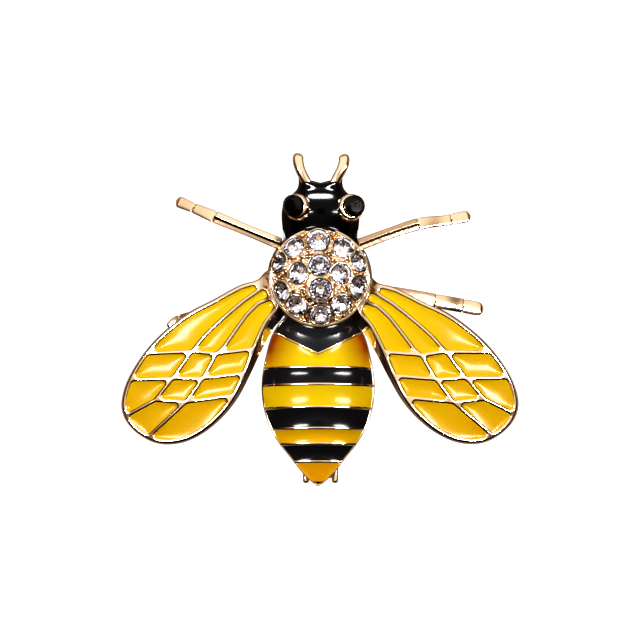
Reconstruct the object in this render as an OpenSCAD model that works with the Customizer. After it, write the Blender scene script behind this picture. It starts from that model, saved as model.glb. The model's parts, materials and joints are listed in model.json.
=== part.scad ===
// Bee brooch that lies on its back: +Z is the face, +Y points to the antennae, +X is the bee's side
// on the right of someone who looks at the face. The origin is the middle of the footprint on the table.

/* [Casting] */
// Height of the casting's flat back above the table
back_z = 3.4; // [2.8:0.1:4.2]
// Height of the flat flange that carries the abdomen and the head
flange_t = 0.9; // [0.7:0.1:1.2]
// Clearance between an enamel piece or stone and its seat in the metal
seat_gap = 0.04; // [0.03:0.01:0.06]
// Radius of the rounded corners of the enamel cells
corner_r = 0.3; // [0.2:0.05:0.35]

/* [Wings] */
// Length of a wing from its root to its tip
wing_l = 22.6; // [20:0.1:25]
// Width of a wing across its long axis
wing_w = 11.7; // [10:0.1:13]
// Thickness of a wing's casting
wing_t = 1.7; // [1.5:0.1:2]
// Radius of the large dome that both wings' faces follow
dome_r = 62; // [55:1:80]
// Height of that dome's top above the table
dome_z = 7; // [6.6:0.1:7.4]
// Place of that dome's top along Y
dome_y = -4; // [-6:0.5:-2]
// Width of the metal rim around a wing
rim_w = 0.46; // [0.4:0.02:0.56]
// Width of the veins between the cells
vein_w = 0.4; // [0.3:0.02:0.5]
// Depth of a cell's floor under the rim
cell_depth = 0.8; // [0.6:0.05:1]
// Depth of the enamel's face under the rim
cell_sink = 0.16; // [0.1:0.02:0.3]
// Widest flare of a wing's side wall, near the root on the side of the abdomen
wall_flare = 1.05; // [0.6:0.05:1.3]
// Depth of the upright lip above that flare
wall_lip = 0.25; // [0.15:0.05:0.4]
// Angle of the left wing's long axis from the X axis, in degrees
left_wing_angle = 44.5; // [42:0.5:47]
// Angle of the right wing's long axis from the X axis, in degrees
right_wing_angle = 42.3; // [40:0.1:45]
// Distance of the left wing's root from the middle
left_root_x = 6.1; // [5.8:0.05:6.4]
// Distance of the right wing's root from the middle
right_root_x = 5.45; // [5.2:0.05:5.8]
// Place of the left wing's root along Y
left_root_y = 3.6; // [3.2:0.1:4]
// Place of the right wing's root along Y
right_root_y = 3.2; // [2.9:0.1:3.6]

/* [Abdomen] */
// Length of the abdomen, with the part under the thorax
abd_l = 20.65; // [19:0.05:22]
// Width of the abdomen's dome
abd_w = 12.84; // [12.2:0.02:13.5]
// Height of the abdomen's dome above its flange
abd_h = 3.6; // [3.2:0.1:4.2]
// Place of the abdomen's upper end along Y
abd_top_y = 1.55; // [1.2:0.05:2]
// Place of the abdomen's middle line along X
abd_x = -0.28; // [-0.4:0.02:0]
// Width of the ledge of the flange around the dome
ledge_w = 0.1; // [0.08:0.01:0.25]
// Width of the metal ridges between the bands
ridge_w = 0.32; // [0.25:0.01:0.4]
// Depth of a band's floor under the ridges
band_depth = 0.7; // [0.5:0.05:0.9]
// Depth of a band's face under the ridges
band_sink = 0.1; // [0.05:0.01:0.2]
// Width and height of the metal edge between the ledge and the bands
band_edge = 0.1; // [0.08:0.01:0.2]
// Lean of the ridges towards the head, in degrees
ridge_lean = 5; // [3:0.5:7]
// Drop of the collar's V for each millimetre towards the middle
collar_slope = 0.48; // [0.4:0.02:0.55]

/* [Thorax] */
// Diameter of the thorax cup's ring
thorax_d = 11.5; // [11.2:0.1:11.8]
// Diameter of the thorax cup at the casting's back
thorax_foot_d = 12.1; // [11.9:0.1:12.4]
// Height of the ring's top above the table
thorax_z = 6.6; // [6.4:0.1:7]
// Place of the thorax's middle along X
thorax_x = -0.1; // [-0.2:0.02:0.1]
// Place of the thorax's middle along Y
thorax_y = 4.84; // [4.7:0.02:5]
// Width of the ring
ring_w = 0.32; // [0.25:0.01:0.4]
// Height of the ring above the edge of the stone-set dome
ring_h = 0.3; // [0.2:0.05:0.4]
// Radius of the stone-set dome
pave_r = 7; // [6.8:0.1:7.6]
// Diameter of the largest clear stone
stone_d = 2.5; // [2.3:0.05:2.55]
// Width of the raised collar around a clear stone
collar_w = 0.13; // [0.1:0.01:0.16]
// Height of that collar above the dome
collar_h = 0.14; // [0.08:0.02:0.2]
// Diameter of the small beads between the stones
bead_d = 0.5; // [0.4:0.05:0.6]

/* [Stones] */
// Diameter of a stone's table as a share of its diameter
table_share = 0.56; // [0.5:0.01:0.62]
// Height of a stone's crown as a share of its diameter
crown_share = 0.17; // [0.14:0.01:0.2]
// Height of a stone's girdle as a share of its diameter
girdle_share = 0.03; // [0.02:0.01:0.05]
// Depth of a stone's pavilion as a share of its diameter
pavilion_share = 0.38; // [0.34:0.01:0.42]

/* [Head] */
// Length of the head, with the part under the thorax
head_l = 7.6; // [7:0.1:8]
// Width of the head
head_w = 8.95; // [8.6:0.05:9.4]
// Height of the head's dome above its flange
head_h = 2.9; // [2.6:0.1:3.2]
// Depth under the head's dome of the circle that its arch follows
head_axis = 2.6; // [2.4:0.1:3]
// Place of the head's front edge along Y
head_top_y = 16.25; // [16:0.05:16.5]
// Place of the head's middle line along X
head_x = 0; // [-0.1:0.02:0.1]
// Diameter of an eye stone
eye_d = 2.55; // [2.4:0.05:2.65]
// Width of the wall of an eye's cup
cup_w = 0.15; // [0.12:0.01:0.2]
// Depth of an eye cup's rim under the stone's girdle
cup_rim = 0.2; // [0.1:0.05:0.3]
// Height of the eye stones' girdles above the table
eye_z = 7; // [6.8:0.05:7.2]

/* [Limbs] */
// Reach of the right hind leg from its root in the thorax, which the other legs follow
leg_reach = 14.5; // [14:0.1:15]
// Width of a leg at the body
leg_w = 1.4; // [1.2:0.05:1.5]
// Height of a leg at the body
leg_h = 1.2; // [1:0.05:1.4]
// Length of an antenna with its root in the head
antenna_l = 4; // [3.8:0.05:4.1]
// Width of an antenna at the head
antenna_w = 1.25; // [1:0.05:1.4]
// Height of an antenna at the head
antenna_h = 1.1; // [0.9:0.05:1.3]

/* [Pin fitting] */
// Width of the bar on the back
bar_w = 3; // [2.5:0.1:3.5]
// Thickness of the bar
bar_t = 0.8; // [0.6:0.05:1]
// Clearance between the bar and the casting's back
bar_gap = 0.05; // [0.03:0.01:0.1]
// Place of the fitting's end at the tail along Y
bar_tail_y = -18.95; // [-19.1:0.05:-18.5]
// Place of the fitting's end at the head along Y
bar_head_y = 12; // [10:0.5:13]
// Diameter of the pin stem
stem_d = 0.9; // [0.8:0.05:1]
// Height of the stem's middle above the table
stem_z = 1.2; // [1:0.1:1.5]
// Width over the two ears
ear_span = 4.1; // [3.8:0.1:4.4]
// Thickness of an ear
ear_t = 0.75; // [0.65:0.05:0.95]

/* [Hidden] */
STONE_NODES = [for (i = [1:14]) str("stone_", i)];
CELL_ROWS = ["a1", "a2", "a3", "b1", "b2", "b3", "c1", "c2", "c3", "d1", "d2"];
BAND_NODES = ["band_black_collar", "band_yellow_1", "band_black_1", "band_yellow_2",
              "band_black_2", "band_yellow_3", "band_black_3", "band_yellow_tail"];

gold = "#d9a75a";
yellow = "#f2c40c";
black = "#101014";
clear = "#dfe6ee";
// Height above which nothing of the brooch reaches
over = 12;
// How far a shape runs into another that it is joined to or cut from
bite = 0.5;
round_fn = 96;
dome_fn = 240;
corner_fn = 20;

// Wing outline: share of wing_l along, share of wing_w across with the leading side up, share of wall_flare
WING_RIM = [
    [-0.13, -0.02, 0], [-0.067, 0.121, 0], [0.01, 0.13, 0.05], [0.095, 0.212, 0.08], [0.24, 0.292, 0.1],
    [0.37, 0.37, 0.1], [0.5, 0.405, 0.1], [0.63, 0.408, 0.1], [0.76, 0.368, 0.1], [0.87, 0.297, 0.1],
    [0.955, 0.185, 0.1], [0.993, 0.04, 0.1], [0.993, -0.14, 0.1], [0.953, -0.335, 0.12],
    [0.865, -0.483, 0.16], [0.75, -0.56, 0.2], [0.62, -0.575, 0.26], [0.5, -0.537, 0.36],
    [0.37, -0.442, 0.52], [0.25, -0.335, 0.78], [0.13, -0.247, 1], [0.03, -0.21, 1]
];
// Crossings and bends of the vein network: share of wing_l along, share of wing_w across
VEIN_PTS = [
    // 0 to 9: first long vein from the root's rim to beyond the tip's
    [0.002, 0.028], [0.036, 0.042], [0.128, 0.075], [0.217, 0.09], [0.305, 0.099],
    [0.394, 0.101], [0.502, 0.079], [0.67, 0.022], [0.813, -0.007], [1.034, 0.115],
    // 10 to 19: second long vein from the root's rim to beyond the tip's
    [0.021, -0.101], [0.046, -0.074], [0.088, -0.043], [0.17, -0.043], [0.265, -0.074],
    [0.369, -0.111], [0.421, -0.108], [0.559, -0.188], [0.705, -0.237], [1.036, -0.213],
    // 20 to 24: ends of the three cross veins beyond the rim
    [0.689, 0.4], [0.247, -0.363], [0.886, 0.407], [0.358, -0.483], [0.461, -0.586],
    // 25 to 31: corners of the field around the wing
    [0.177, 0.589], [-0.016, 0.168], [0.065, -0.454], [0.345, -0.612], [0.64, -0.882],
    [1.002, -0.609], [1.185, -0.055]
];
// Cells in the order of CELL_ROWS: the points of VEIN_PTS around each
CELLS = [
    [1, 2, 3, 4, 5, 6, 20, 25, 26], [0, 1, 2, 3, 4, 5, 6, 16, 15, 14, 13, 12, 11, 10],
    [10, 11, 12, 13, 14, 15, 16, 21, 27], [6, 20, 22, 7], [6, 16, 17, 7], [16, 21, 23, 17],
    [7, 22, 9, 8], [7, 17, 18, 8], [17, 23, 24, 18], [8, 18, 19, 31, 9], [18, 24, 28, 29, 30, 19]
];
// Abdomen: share of its length from the upper end, share of half its width, share of its height
ABDOMEN = [
    [0, 0.4, 0.4], [0.03, 0.47, 0.44], [0.094, 0.68, 0.6], [0.155, 0.8, 0.74], [0.21, 0.868, 0.83],
    [0.277, 0.922, 0.91], [0.343, 0.965, 0.965], [0.42, 0.998, 1], [0.5, 0.995, 1], [0.587, 0.95, 0.955],
    [0.675, 0.852, 0.86], [0.767, 0.687, 0.715], [0.847, 0.482, 0.55], [0.919, 0.3, 0.41],
    [0.968, 0.15, 0.3], [1, 0.02, 0.2]
];
// Ridges between the bands: share of the abdomen's length at the ledge; the first is the V of the collar
RIDGES = [0.264, 0.352, 0.449, 0.576, 0.693, 0.778, 0.876];
// Head: share of its length from the front edge, share of half its width, share of its height
HEAD = [
    [0, 0.57, 0.38], [0.07, 0.565, 0.42], [0.16, 0.61, 0.58], [0.25, 0.755, 0.79], [0.37, 0.94, 0.95],
    [0.5, 1, 1], [0.64, 1, 0.95], [0.76, 0.98, 0.86], [0.88, 0.96, 0.76], [1, 0.94, 0.68]
];
// Drop of the head's front edge between the antennae, as a share of the head's length, and its half width
HEAD_NOTCH = [0.06, 0.2];
// Clear stones: share of the ring's radius from the middle, direction in degrees, share of stone_d, tilt
STONES = [
    [0.734, 92, 1, 14], [0.788, 130.5, 0.92, 32], [0.758, 51, 0.95, 28], [0.872, 160.5, 0.9, 44],
    [0.84, 22, 0.9, 43], [0.437, 169.5, 0.93, 28], [0.24, 90, 0.93, 8], [0.431, 9, 0.92, 20],
    [0.249, -85, 1, 8], [0.798, 200.5, 0.86, 42], [0.79, -13.5, 0.92, 36], [0.72, 231, 0.94, 30],
    [0.69, -52, 0.9, 30], [0.74, -88.5, 0.94, 28]
];
// Beads: share of the ring's radius from the middle, direction in degrees
BEADS = [
    [0.9, 112], [0.52, 128], [0.93, 146], [0.52, 58], [0.94, 72], [0.93, 36], [0.92, 3], [0.62, 185],
    [0.9, 181], [0.53, 215], [0.42, 212], [0.92, 216], [0.9, 250], [0.54, -31], [0.44, -38], [0.93, -33],
    [0.9, -68], [0.52, 106], [0.52, 33], [0.62, -2]
];
// Eyes: share of the head's width along X, share of its length from the front edge, tilt outwards in degrees
EYES = [[-0.3631, 0.4158, 32], [0.438, 0.4197, 23]];
// Roots of the legs: X and Y from the thorax's middle as shares of thorax_d
ROOT_FRONT_LEFT = [-0.3913, 0.3356];
ROOT_FRONT_RIGHT = [0.3913, 0.3269];
ROOT_HIND_LEFT = [-0.3913, -0.1078];
ROOT_HIND_RIGHT = [0.4087, -0.1078];
// Legs, body to foot: X and Y past the root as shares of leg_reach, height of the middle line as a share of
// its height at the root of a front leg, width share, height share
LEG_FRONT_LEFT = [
    [0, 0, 1, 1, 1], [-0.2758, 0.1138, 0.8476, 0.92, 0.9], [-0.5241, 0.2173, 0.6303, 1, 0.95],
    [-0.7035, 0.2931, 0.348, 0.84, 0.85], [-0.8068, 0.338, 0.1348, 0.95, 1],
    [-0.8379, 0.3518, 0.1089, 0.6, 0.8]
];
LEG_FRONT_RIGHT = [
    [0, 0, 1, 1, 1], [0.2483, 0.0932, 0.8476, 0.92, 0.9], [0.4828, 0.1691, 0.6303, 1, 0.95],
    [0.6827, 0.1966, 0.348, 0.86, 0.85], [0.8483, 0.2276, 0.1348, 0.95, 1],
    [0.8965, 0.238, 0.1089, 0.6, 0.8]
];
LEG_HIND_LEFT = [
    [0, 0, 0.913, 1, 1], [-0.3242, -0.0966, 0.7609, 1, 1], [-0.6207, -0.2035, 0.5, 1, 1],
    [-0.8276, -0.269, 0.152, 1, 1], [-0.8965, -0.3242, 0.1089, 0.7, 0.8]
];
LEG_HIND_RIGHT = [
    [0, 0, 0.913, 1, 1], [0.3517, -0.0517, 0.7609, 1.05, 1], [0.6482, -0.109, 0.5, 1.15, 1],
    [0.8137, -0.1379, 0.2609, 1.15, 1], [0.938, -0.1621, 0.1348, 1.1, 1],
    [0.9862, -0.1691, 0.1089, 0.7, 0.8]
];
// Antennae: X, Y past the head's front edge and height over the flange as shares of antenna_l, then the same
ANTENNA_LEFT = [
    [-0.375, -0.2625, 0.25, 1, 1], [-0.42, -0.0875, 0.225, 0.95, 1], [-0.5, 0.075, 0.2, 0.92, 0.95],
    [-0.595, 0.2875, 0.175, 0.92, 0.9], [-0.645, 0.4875, 0.175, 0.94, 0.85],
    [-0.645, 0.65, 0.175, 0.76, 0.7], [-0.63, 0.735, 0.175, 0.4, 0.4]
];
ANTENNA_RIGHT = [
    [0.375, -0.2625, 0.25, 1, 1], [0.43, -0.0875, 0.225, 0.95, 1], [0.505, 0.075, 0.2, 0.92, 0.95],
    [0.595, 0.2375, 0.175, 0.92, 0.9], [0.67, 0.4375, 0.175, 0.96, 0.85], [0.675, 0.6125, 0.175, 0.8, 0.7],
    [0.655, 0.71, 0.175, 0.42, 0.4]
];
// Section of a leg or antenna: shares of half its width and half its height
LIMB_SECTION = [[-0.8, -1], [0.8, -1], [1, 0], [0.3, 1], [-0.3, 1], [-1, 0]];

// Catmull-Rom curve between points p1 and p2 at share t
function blend(p0, p1, p2, p3, t) =
    0.5 * (2 * p1 + (p2 - p0) * t + (2 * p0 - 5 * p1 + 4 * p2 - p3) * t * t
           + (3 * p1 - p0 - 3 * p2 + p3) * t * t * t);
// Closed curve through the points, with n steps between two of them
function closed_curve(p, n) = let (k = len(p))
    [for (i = [0:k - 1]) for (j = [0:n - 1])
        blend(p[(i + k - 1) % k], p[i], p[(i + 1) % k], p[(i + 2) % k], j / n)];
// Open curve through the points, with n steps between two of them
function open_curve(p, n) = let (k = len(p))
    concat([for (i = [0:k - 2]) for (j = [0:n - 1])
        blend(p[max(i - 1, 0)], p[i], p[i + 1], p[min(i + 2, k - 1)], j / n)], [p[k - 1]]);
function reversed(p) = [for (i = [len(p) - 1:-1:0]) p[i]];
// Height above the table at which an arch of height h, w from its middle line to its edge, has its circle
function arch_axis(w, h) = (w * w + h * h) / (2 * h) - h;

// Solid through rings of as many points each, which run anticlockwise seen from the last ring
module ring_solid(rings) {
    n = len(rings[0]);
    pts = [for (r = rings) for (p = r) p];
    sides = [for (i = [0:len(rings) - 2]) for (j = [0:n - 1])
        let (a = i * n + j, b = i * n + (j + 1) % n)
        each [[a, a + n, b + n], [a, b + n, b]]];
    ends = [[for (j = [0:n - 1]) j], [for (j = [n - 1:-1:0]) (len(rings) - 1) * n + j]];
    polyhedron(points = pts, faces = concat(sides, ends), convexity = 8);
}

function leg_rows(root, t) = [for (p = t)
    [thorax_x + root[0] * thorax_d + p[0] * leg_reach, thorax_y + root[1] * thorax_d + p[1] * leg_reach,
     p[2] * (back_z + leg_h), p[3], p[4]]];
function antenna_rows(t) = [for (p = t)
    [head_x + p[0] * antenna_l, head_top_y + p[1] * antenna_l, flange_z + p[2] * antenna_l, p[3], p[4]]];

// Bar with the limb section along rows of [x, y, z, width share, height share]
module limb(rows, w, h) {
    last = len(rows) - 1;
    rings = [for (i = [0:last])
        let (a = rows[max(i - 1, 0)], b = rows[min(i + 1, last)], d = [b[0] - a[0], b[1] - a[1]],
             s = [-d[1], d[0]] / norm(d), p = rows[i])
        [for (q = LIMB_SECTION)
            [p[0] + s[0] * q[0] * w / 2 * p[3], p[1] + s[1] * q[0] * w / 2 * p[3],
             max(0, p[2] + q[1] * h / 2 * p[4])]]];
    ring_solid(rings);
}

// Wings. side is -1 for the left wing and 1 for the right one
function wing_angle(side) = side < 0 ? left_wing_angle : right_wing_angle;
function root_x(side) = side < 0 ? -left_root_x : right_root_x;
function root_y(side) = side < 0 ? left_root_y : right_root_y;
// Place on the table of a point a along the wing and c across it, in millimetres
function wing_xy(side, a, c) = let (q = wing_angle(side))
    [root_x(side) + side * (a * cos(q) + c * sin(q)), root_y(side) - a * sin(q) + c * cos(q)];
function dome_at(p) = dome_z - dome_r + sqrt(dome_r * dome_r - p[0] * p[0] - pow(p[1] - dome_y, 2));
// Wing outline in millimetres along and across, moved outwards by the share f of its flare
function wing_outline(f) = let (c = closed_curve(WING_RIM, 2), k = len(c))
    [for (i = [0:k - 1])
        let (a = c[(i + k - 1) % k], b = c[(i + 1) % k],
             d = [(b[0] - a[0]) * wing_l, (b[1] - a[1]) * wing_w], out = [-d[1], d[0]] / norm(d),
             m = f * wall_flare * max(0, c[i][2]))
        [c[i][0] * wing_l + out[0] * m, c[i][1] * wing_w + out[1] * m]];
function wing_ring(side, f) = let (r = [for (p = wing_outline(f)) wing_xy(side, p[0], p[1])])
    side < 0 ? r : reversed(r);

module dome(depth) {
    translate([0, dome_y, dome_z - dome_r]) sphere(r = dome_r - depth, $fn = dome_fn);
}

module wing_blank(side) {
    top = wing_ring(side, 0);
    foot = wing_ring(side, 1);
    rings = [
        [for (p = foot) [p[0], p[1], 0]],
        [for (p = foot) [p[0], p[1], dome_at(p) - wing_t - wall_lip]],
        [for (p = top) [p[0], p[1], dome_at(p) - wall_lip]],
        [for (p = top) [p[0], p[1], over]]
    ];
    difference() {
        intersection() {
            ring_solid(rings);
            dome(0);
        }
        dome(wing_t);
    }
}

// Plan of cell i, drawn in by inset from the metal around it
module cell_plan(side, i, inset) {
    offset(r = corner_r, $fn = corner_fn)
        offset(delta = -corner_r - inset)
            intersection() {
                offset(delta = -rim_w) polygon(wing_ring(side, 0));
                offset(delta = -vein_w / 2)
                    polygon([for (k = CELLS[i])
                        wing_xy(side, VEIN_PTS[k][0] * wing_l, VEIN_PTS[k][1] * wing_w)]);
            }
}

module cell_pockets(side) {
    difference() {
        for (i = [0:len(CELLS) - 1])
            linear_extrude(over) cell_plan(side, i, 0);
        dome(cell_depth);
    }
}

module wing_cell(side, i) {
    color(yellow)
        difference() {
            intersection() {
                linear_extrude(over) cell_plan(side, i, seat_gap);
                dome(cell_sink);
            }
            dome(cell_depth - seat_gap);
        }
}

// Abdomen
flange_z = back_z + flange_t;
// The dome's arch meets the flange just outside the abdomen's outline
arch_out = 0.12;
abd_axis = arch_axis(abd_w / 2 + arch_out, abd_h);
abd_curve = open_curve(ABDOMEN, 2);
function abd_y(share) = abd_top_y - share * abd_l;
function abd_half(share) = share * abd_w / 2;

// Solid turned about the abdomen's axis, drop under the ridges
module abdomen_turned(drop) {
    rows = [for (p = abd_curve) [abd_axis + p[2] * abd_h - drop, abd_y(p[0])]];
    profile = concat([[0, abd_y(0)]], rows, [[0, abd_y(1)]]);
    translate([abd_x, 0, flange_z - abd_axis])
        rotate([-90, 0, 0]) rotate_extrude($fn = round_fn) polygon(profile);
}

module abdomen_plan(grow) {
    half = [for (p = abd_curve) [abd_half(p[1]), abd_y(p[0])]];
    translate([abd_x, 0])
        offset(delta = grow) polygon(concat(half, [for (p = reversed(half)) [-p[0], p[1]]]));
}

// Everything on the head's side of ridge i, moved towards the head by shift
module above_ridge(i, shift) {
    y = abd_y(RIDGES[i]) + shift;
    if (i == 0)
        translate([abd_x, 0, 0])
            linear_extrude(over)
                polygon([[0, y], [abd_w, y + abd_w * collar_slope], [abd_w, y + abd_l],
                         [-abd_w, y + abd_l], [-abd_w, y + abd_w * collar_slope]]);
    else
        translate([abd_x, y, flange_z])
            rotate([-ridge_lean, 0, 0]) translate([-abd_w, 0, -over]) cube([2 * abd_w, 2 * abd_l, 2 * over]);
}

// Room between ridge i - 1 and ridge i, with inset kept free on every side
module band_room(i, inset) {
    m = ridge_w / 2 + inset;
    intersection() {
        translate([0, 0, flange_z + band_edge + inset])
            linear_extrude(over) abdomen_plan(-band_edge - inset);
        difference() {
            if (i < len(RIDGES)) above_ridge(i, m);
            else translate([abd_x - abd_w, abd_y(1) - bite, 0]) cube([2 * abd_w, 2 * abd_l, over]);
            if (i > 0) above_ridge(i - 1, -m);
        }
    }
}

module band(i) {
    color(i % 2 == 0 ? black : yellow)
        difference() {
            intersection() {
                abdomen_turned(band_sink);
                band_room(i, seat_gap);
            }
            abdomen_turned(band_depth - seat_gap);
            thorax_cup(seat_gap);
        }
}

module abdomen_metal() {
    translate([0, 0, back_z]) linear_extrude(flange_t) abdomen_plan(ledge_w);
    difference() {
        intersection() {
            abdomen_turned(0);
            translate([0, 0, back_z + flange_t / 2]) linear_extrude(over) abdomen_plan(0);
        }
        difference() {
            for (i = [0:len(RIDGES)]) band_room(i, 0);
            abdomen_turned(band_depth);
        }
    }
}

// Thorax
thorax_r = thorax_d / 2;
pave_edge_r = thorax_r - ring_w;
// Height of the middle of the stone-set dome's sphere
pave_z = thorax_z - ring_h - sqrt(pave_r * pave_r - pave_edge_r * pave_edge_r);

module thorax_cup(grow) {
    translate([thorax_x, thorax_y, back_z])
        cylinder(h = thorax_z - back_z + grow, r1 = thorax_foot_d / 2 + grow, r2 = thorax_r + grow,
                 $fn = round_fn);
}

// Puts its children on the stone-set dome at share s of the ring's radius and direction a, tilted by t
module on_dome(s, a, t) {
    r = s * thorax_r;
    translate([thorax_x + r * cos(a), thorax_y + r * sin(a), pave_z + sqrt(pave_r * pave_r - r * r)])
        rotate([0, 0, a]) rotate([0, t, 0]) children();
}

// Height of a kite's lower corners as a share of the crown
kite_share = 0.52;
// Round cut stone with its girdle at z = 0: table, 8 stars, 8 kites, 16 girdle facets, 8 pavilion facets
module cut_stone(d) {
    r = d / 2;
    crown = crown_share * d;
    girdle = girdle_share * d;
    table_r = table_share * r / cos(22.5);
    kite_r = (r + table_share * r) / 2;
    table = [for (i = [0:7]) [table_r * cos(i * 45), table_r * sin(i * 45), girdle + crown]];
    kite_z = girdle + crown * kite_share;
    mid = [for (i = [0:7]) [kite_r * cos(i * 45 + 22.5), kite_r * sin(i * 45 + 22.5), kite_z]];
    top = [for (i = [0:15]) [r * cos(i * 22.5), r * sin(i * 22.5), girdle]];
    low = [for (i = [0:15]) [r * cos(i * 22.5), r * sin(i * 22.5), 0]];
    culet = [[0, 0, -pavilion_share * d]];
    t0 = 0;
    m0 = 8;
    g0 = 16;
    l0 = 32;
    c0 = 48;
    stars = [for (i = [0:7]) [t0 + i, t0 + (i + 1) % 8, m0 + i]];
    kites = [for (i = [0:7]) each [[t0 + i, m0 + i, g0 + 2 * i], [t0 + i, g0 + 2 * i, m0 + (i + 7) % 8]]];
    halves = [for (i = [0:7]) each [[m0 + i, g0 + 2 * i + 1, g0 + 2 * i],
                                    [m0 + i, g0 + (2 * i + 2) % 16, g0 + 2 * i + 1]]];
    band = [for (i = [0:15]) let (j = (i + 1) % 16)
        each [[g0 + i, l0 + j, l0 + i], [g0 + i, g0 + j, l0 + j]]];
    cone = [for (i = [0:15]) [l0 + i, l0 + (i + 1) % 16, c0]];
    polyhedron(points = concat(table, mid, top, low, culet),
               faces = concat([[for (i = [7:-1:0]) i]], stars, kites, halves, band, cone), convexity = 2);
}

// Space that a stone of diameter d sinks into, with the clearance around it
module stone_seat(d) {
    r = d / 2 + seat_gap;
    depth = pavilion_share * d + 3 * seat_gap;
    cylinder(h = 4 * bite, r = r, $fn = round_fn);
    translate([0, 0, -depth]) cylinder(h = depth + seat_gap, r1 = 2 * seat_gap, r2 = r, $fn = round_fn);
}

// Height of a clear stone's girdle over the dome
girdle_over = 0.02;

module clear_stone(i) {
    s = STONES[i];
    color(clear) on_dome(s[0], s[1], s[3]) translate([0, 0, girdle_over]) cut_stone(s[2] * stone_d);
}

module thorax_metal() {
    difference() {
        union() {
            difference() {
                thorax_cup(0);
                translate([thorax_x, thorax_y, thorax_z - 2 * ring_h])
                    cylinder(h = over, r = pave_edge_r, $fn = round_fn);
            }
            intersection() {
                translate([thorax_x, thorax_y, pave_z]) sphere(r = pave_r, $fn = round_fn);
                translate([thorax_x, thorax_y, back_z + bite])
                    cylinder(h = over, r = pave_edge_r + ring_w / 2, $fn = round_fn);
            }
            for (s = STONES)
                on_dome(s[0], s[1], s[3])
                    translate([0, 0, -2 * bite])
                        cylinder(h = 2 * bite + collar_h, r = s[2] * stone_d / 2 + collar_w + seat_gap,
                                 $fn = round_fn);
            for (b = BEADS)
                on_dome(b[0], b[1], 0) sphere(d = bead_d, $fn = 24);
        }
        for (s = STONES)
            on_dome(s[0], s[1], s[3]) translate([0, 0, girdle_over]) stone_seat(s[2] * stone_d);
    }
}

// Head
head_curve = open_curve(HEAD, 2);
function head_y(share) = head_top_y - share * head_l;

module head_plan(inset) {
    half = [for (p = head_curve) [p[1] * head_w / 2, head_y(p[0])]];
    notch_w = HEAD_NOTCH[1] * head_w;
    notch_r = (notch_w * notch_w / (HEAD_NOTCH[0] * head_l) + HEAD_NOTCH[0] * head_l) / 2;
    translate([head_x, 0])
        offset(delta = -inset)
            difference() {
                polygon(concat(half, [for (p = reversed(half)) [-p[0], p[1]]]));
                translate([0, head_y(HEAD_NOTCH[0]) + notch_r]) circle(r = notch_r, $fn = round_fn);
            }
}

module head_turned() {
    rows = [for (p = head_curve) [head_axis + p[2] * head_h, head_y(p[0])]];
    translate([head_x, 0, flange_z - head_axis])
        rotate([-90, 0, 0]) rotate_extrude($fn = round_fn)
            polygon(concat([[0, head_y(0)]], rows, [[0, head_y(1)]]));
}

// Puts its children at an eye, with Z along the eye's axis
module at_eye(e) {
    translate([head_x + e[0] * head_w, head_y(e[1]), eye_z])
        rotate([0, (e[0] < 0 ? -1 : 1) * e[2], 0]) children();
}

cup_r = eye_d / 2 + seat_gap + cup_w;
// Length of an eye's cup under the stone's girdle
cup_l = 2.85;
// Radius of the post that carries an antenna's root on the flange
post_r = 0.35;

module head_enamel() {
    color(black)
        difference() {
            intersection() {
                translate([0, 0, flange_z + seat_gap]) linear_extrude(over) head_plan(0);
                head_turned();
            }
            thorax_cup(seat_gap);
            for (e = EYES)
                at_eye(e) translate([0, 0, -over / 2])
                    cylinder(h = over, r = cup_r + seat_gap, $fn = round_fn);
            antenna_room(antenna_rows(ANTENNA_LEFT));
            antenna_room(antenna_rows(ANTENNA_RIGHT));
        }
}

// Room for an antenna's root and its post in the head's enamel
module antenna_room(rows) {
    limb([for (p = rows) [p[0], p[1] - (p == rows[0] ? seat_gap : 0), p[2], p[3], p[4]]],
         antenna_w + 3 * seat_gap, antenna_h + 3 * seat_gap);
    translate([rows[0][0], rows[0][1] + post_r / 2, back_z])
        cylinder(h = rows[0][2] - back_z, r = post_r + seat_gap, $fn = 24);
}

module head_metal() {
    translate([0, 0, back_z]) linear_extrude(flange_t) head_plan(0);
    difference() {
        for (e = EYES)
            at_eye(e) translate([0, 0, -cup_l]) cylinder(h = cup_l - cup_rim, r = cup_r, $fn = round_fn);
        for (e = EYES)
            at_eye(e) stone_seat(eye_d);
    }
    for (rows = [antenna_rows(ANTENNA_LEFT), antenna_rows(ANTENNA_RIGHT)]) {
        limb(rows, antenna_w, antenna_h);
        translate([rows[0][0], rows[0][1] + post_r / 2, back_z])
            cylinder(h = rows[0][2] - back_z, r = post_r, $fn = 24);
    }
}

module eye(i) {
    color(black) at_eye(EYES[i]) cut_stone(eye_d);
}

module casting() {
    color(gold) {
        thorax_metal();
        difference() {
            union() {
                abdomen_metal();
                head_metal();
                for (side = [-1, 1])
                    difference() {
                        wing_blank(side);
                        cell_pockets(side);
                    }
                limb(leg_rows(ROOT_FRONT_LEFT, LEG_FRONT_LEFT), leg_w, leg_h);
                limb(leg_rows(ROOT_FRONT_RIGHT, LEG_FRONT_RIGHT), leg_w, leg_h);
                limb(leg_rows(ROOT_HIND_LEFT, LEG_HIND_LEFT), leg_w, leg_h);
                limb(leg_rows(ROOT_HIND_RIGHT, LEG_HIND_RIGHT), leg_w, leg_h);
            }
            // The thorax stands over everything that ends in it
            translate([thorax_x, thorax_y, back_z + bite])
                cylinder(h = over, r = thorax_r - 2 * ring_w, $fn = round_fn);
        }
    }
}

// Length of the catch along the stem, and of the bar past it
catch_l = 2;
catch_end = 1;

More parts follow.
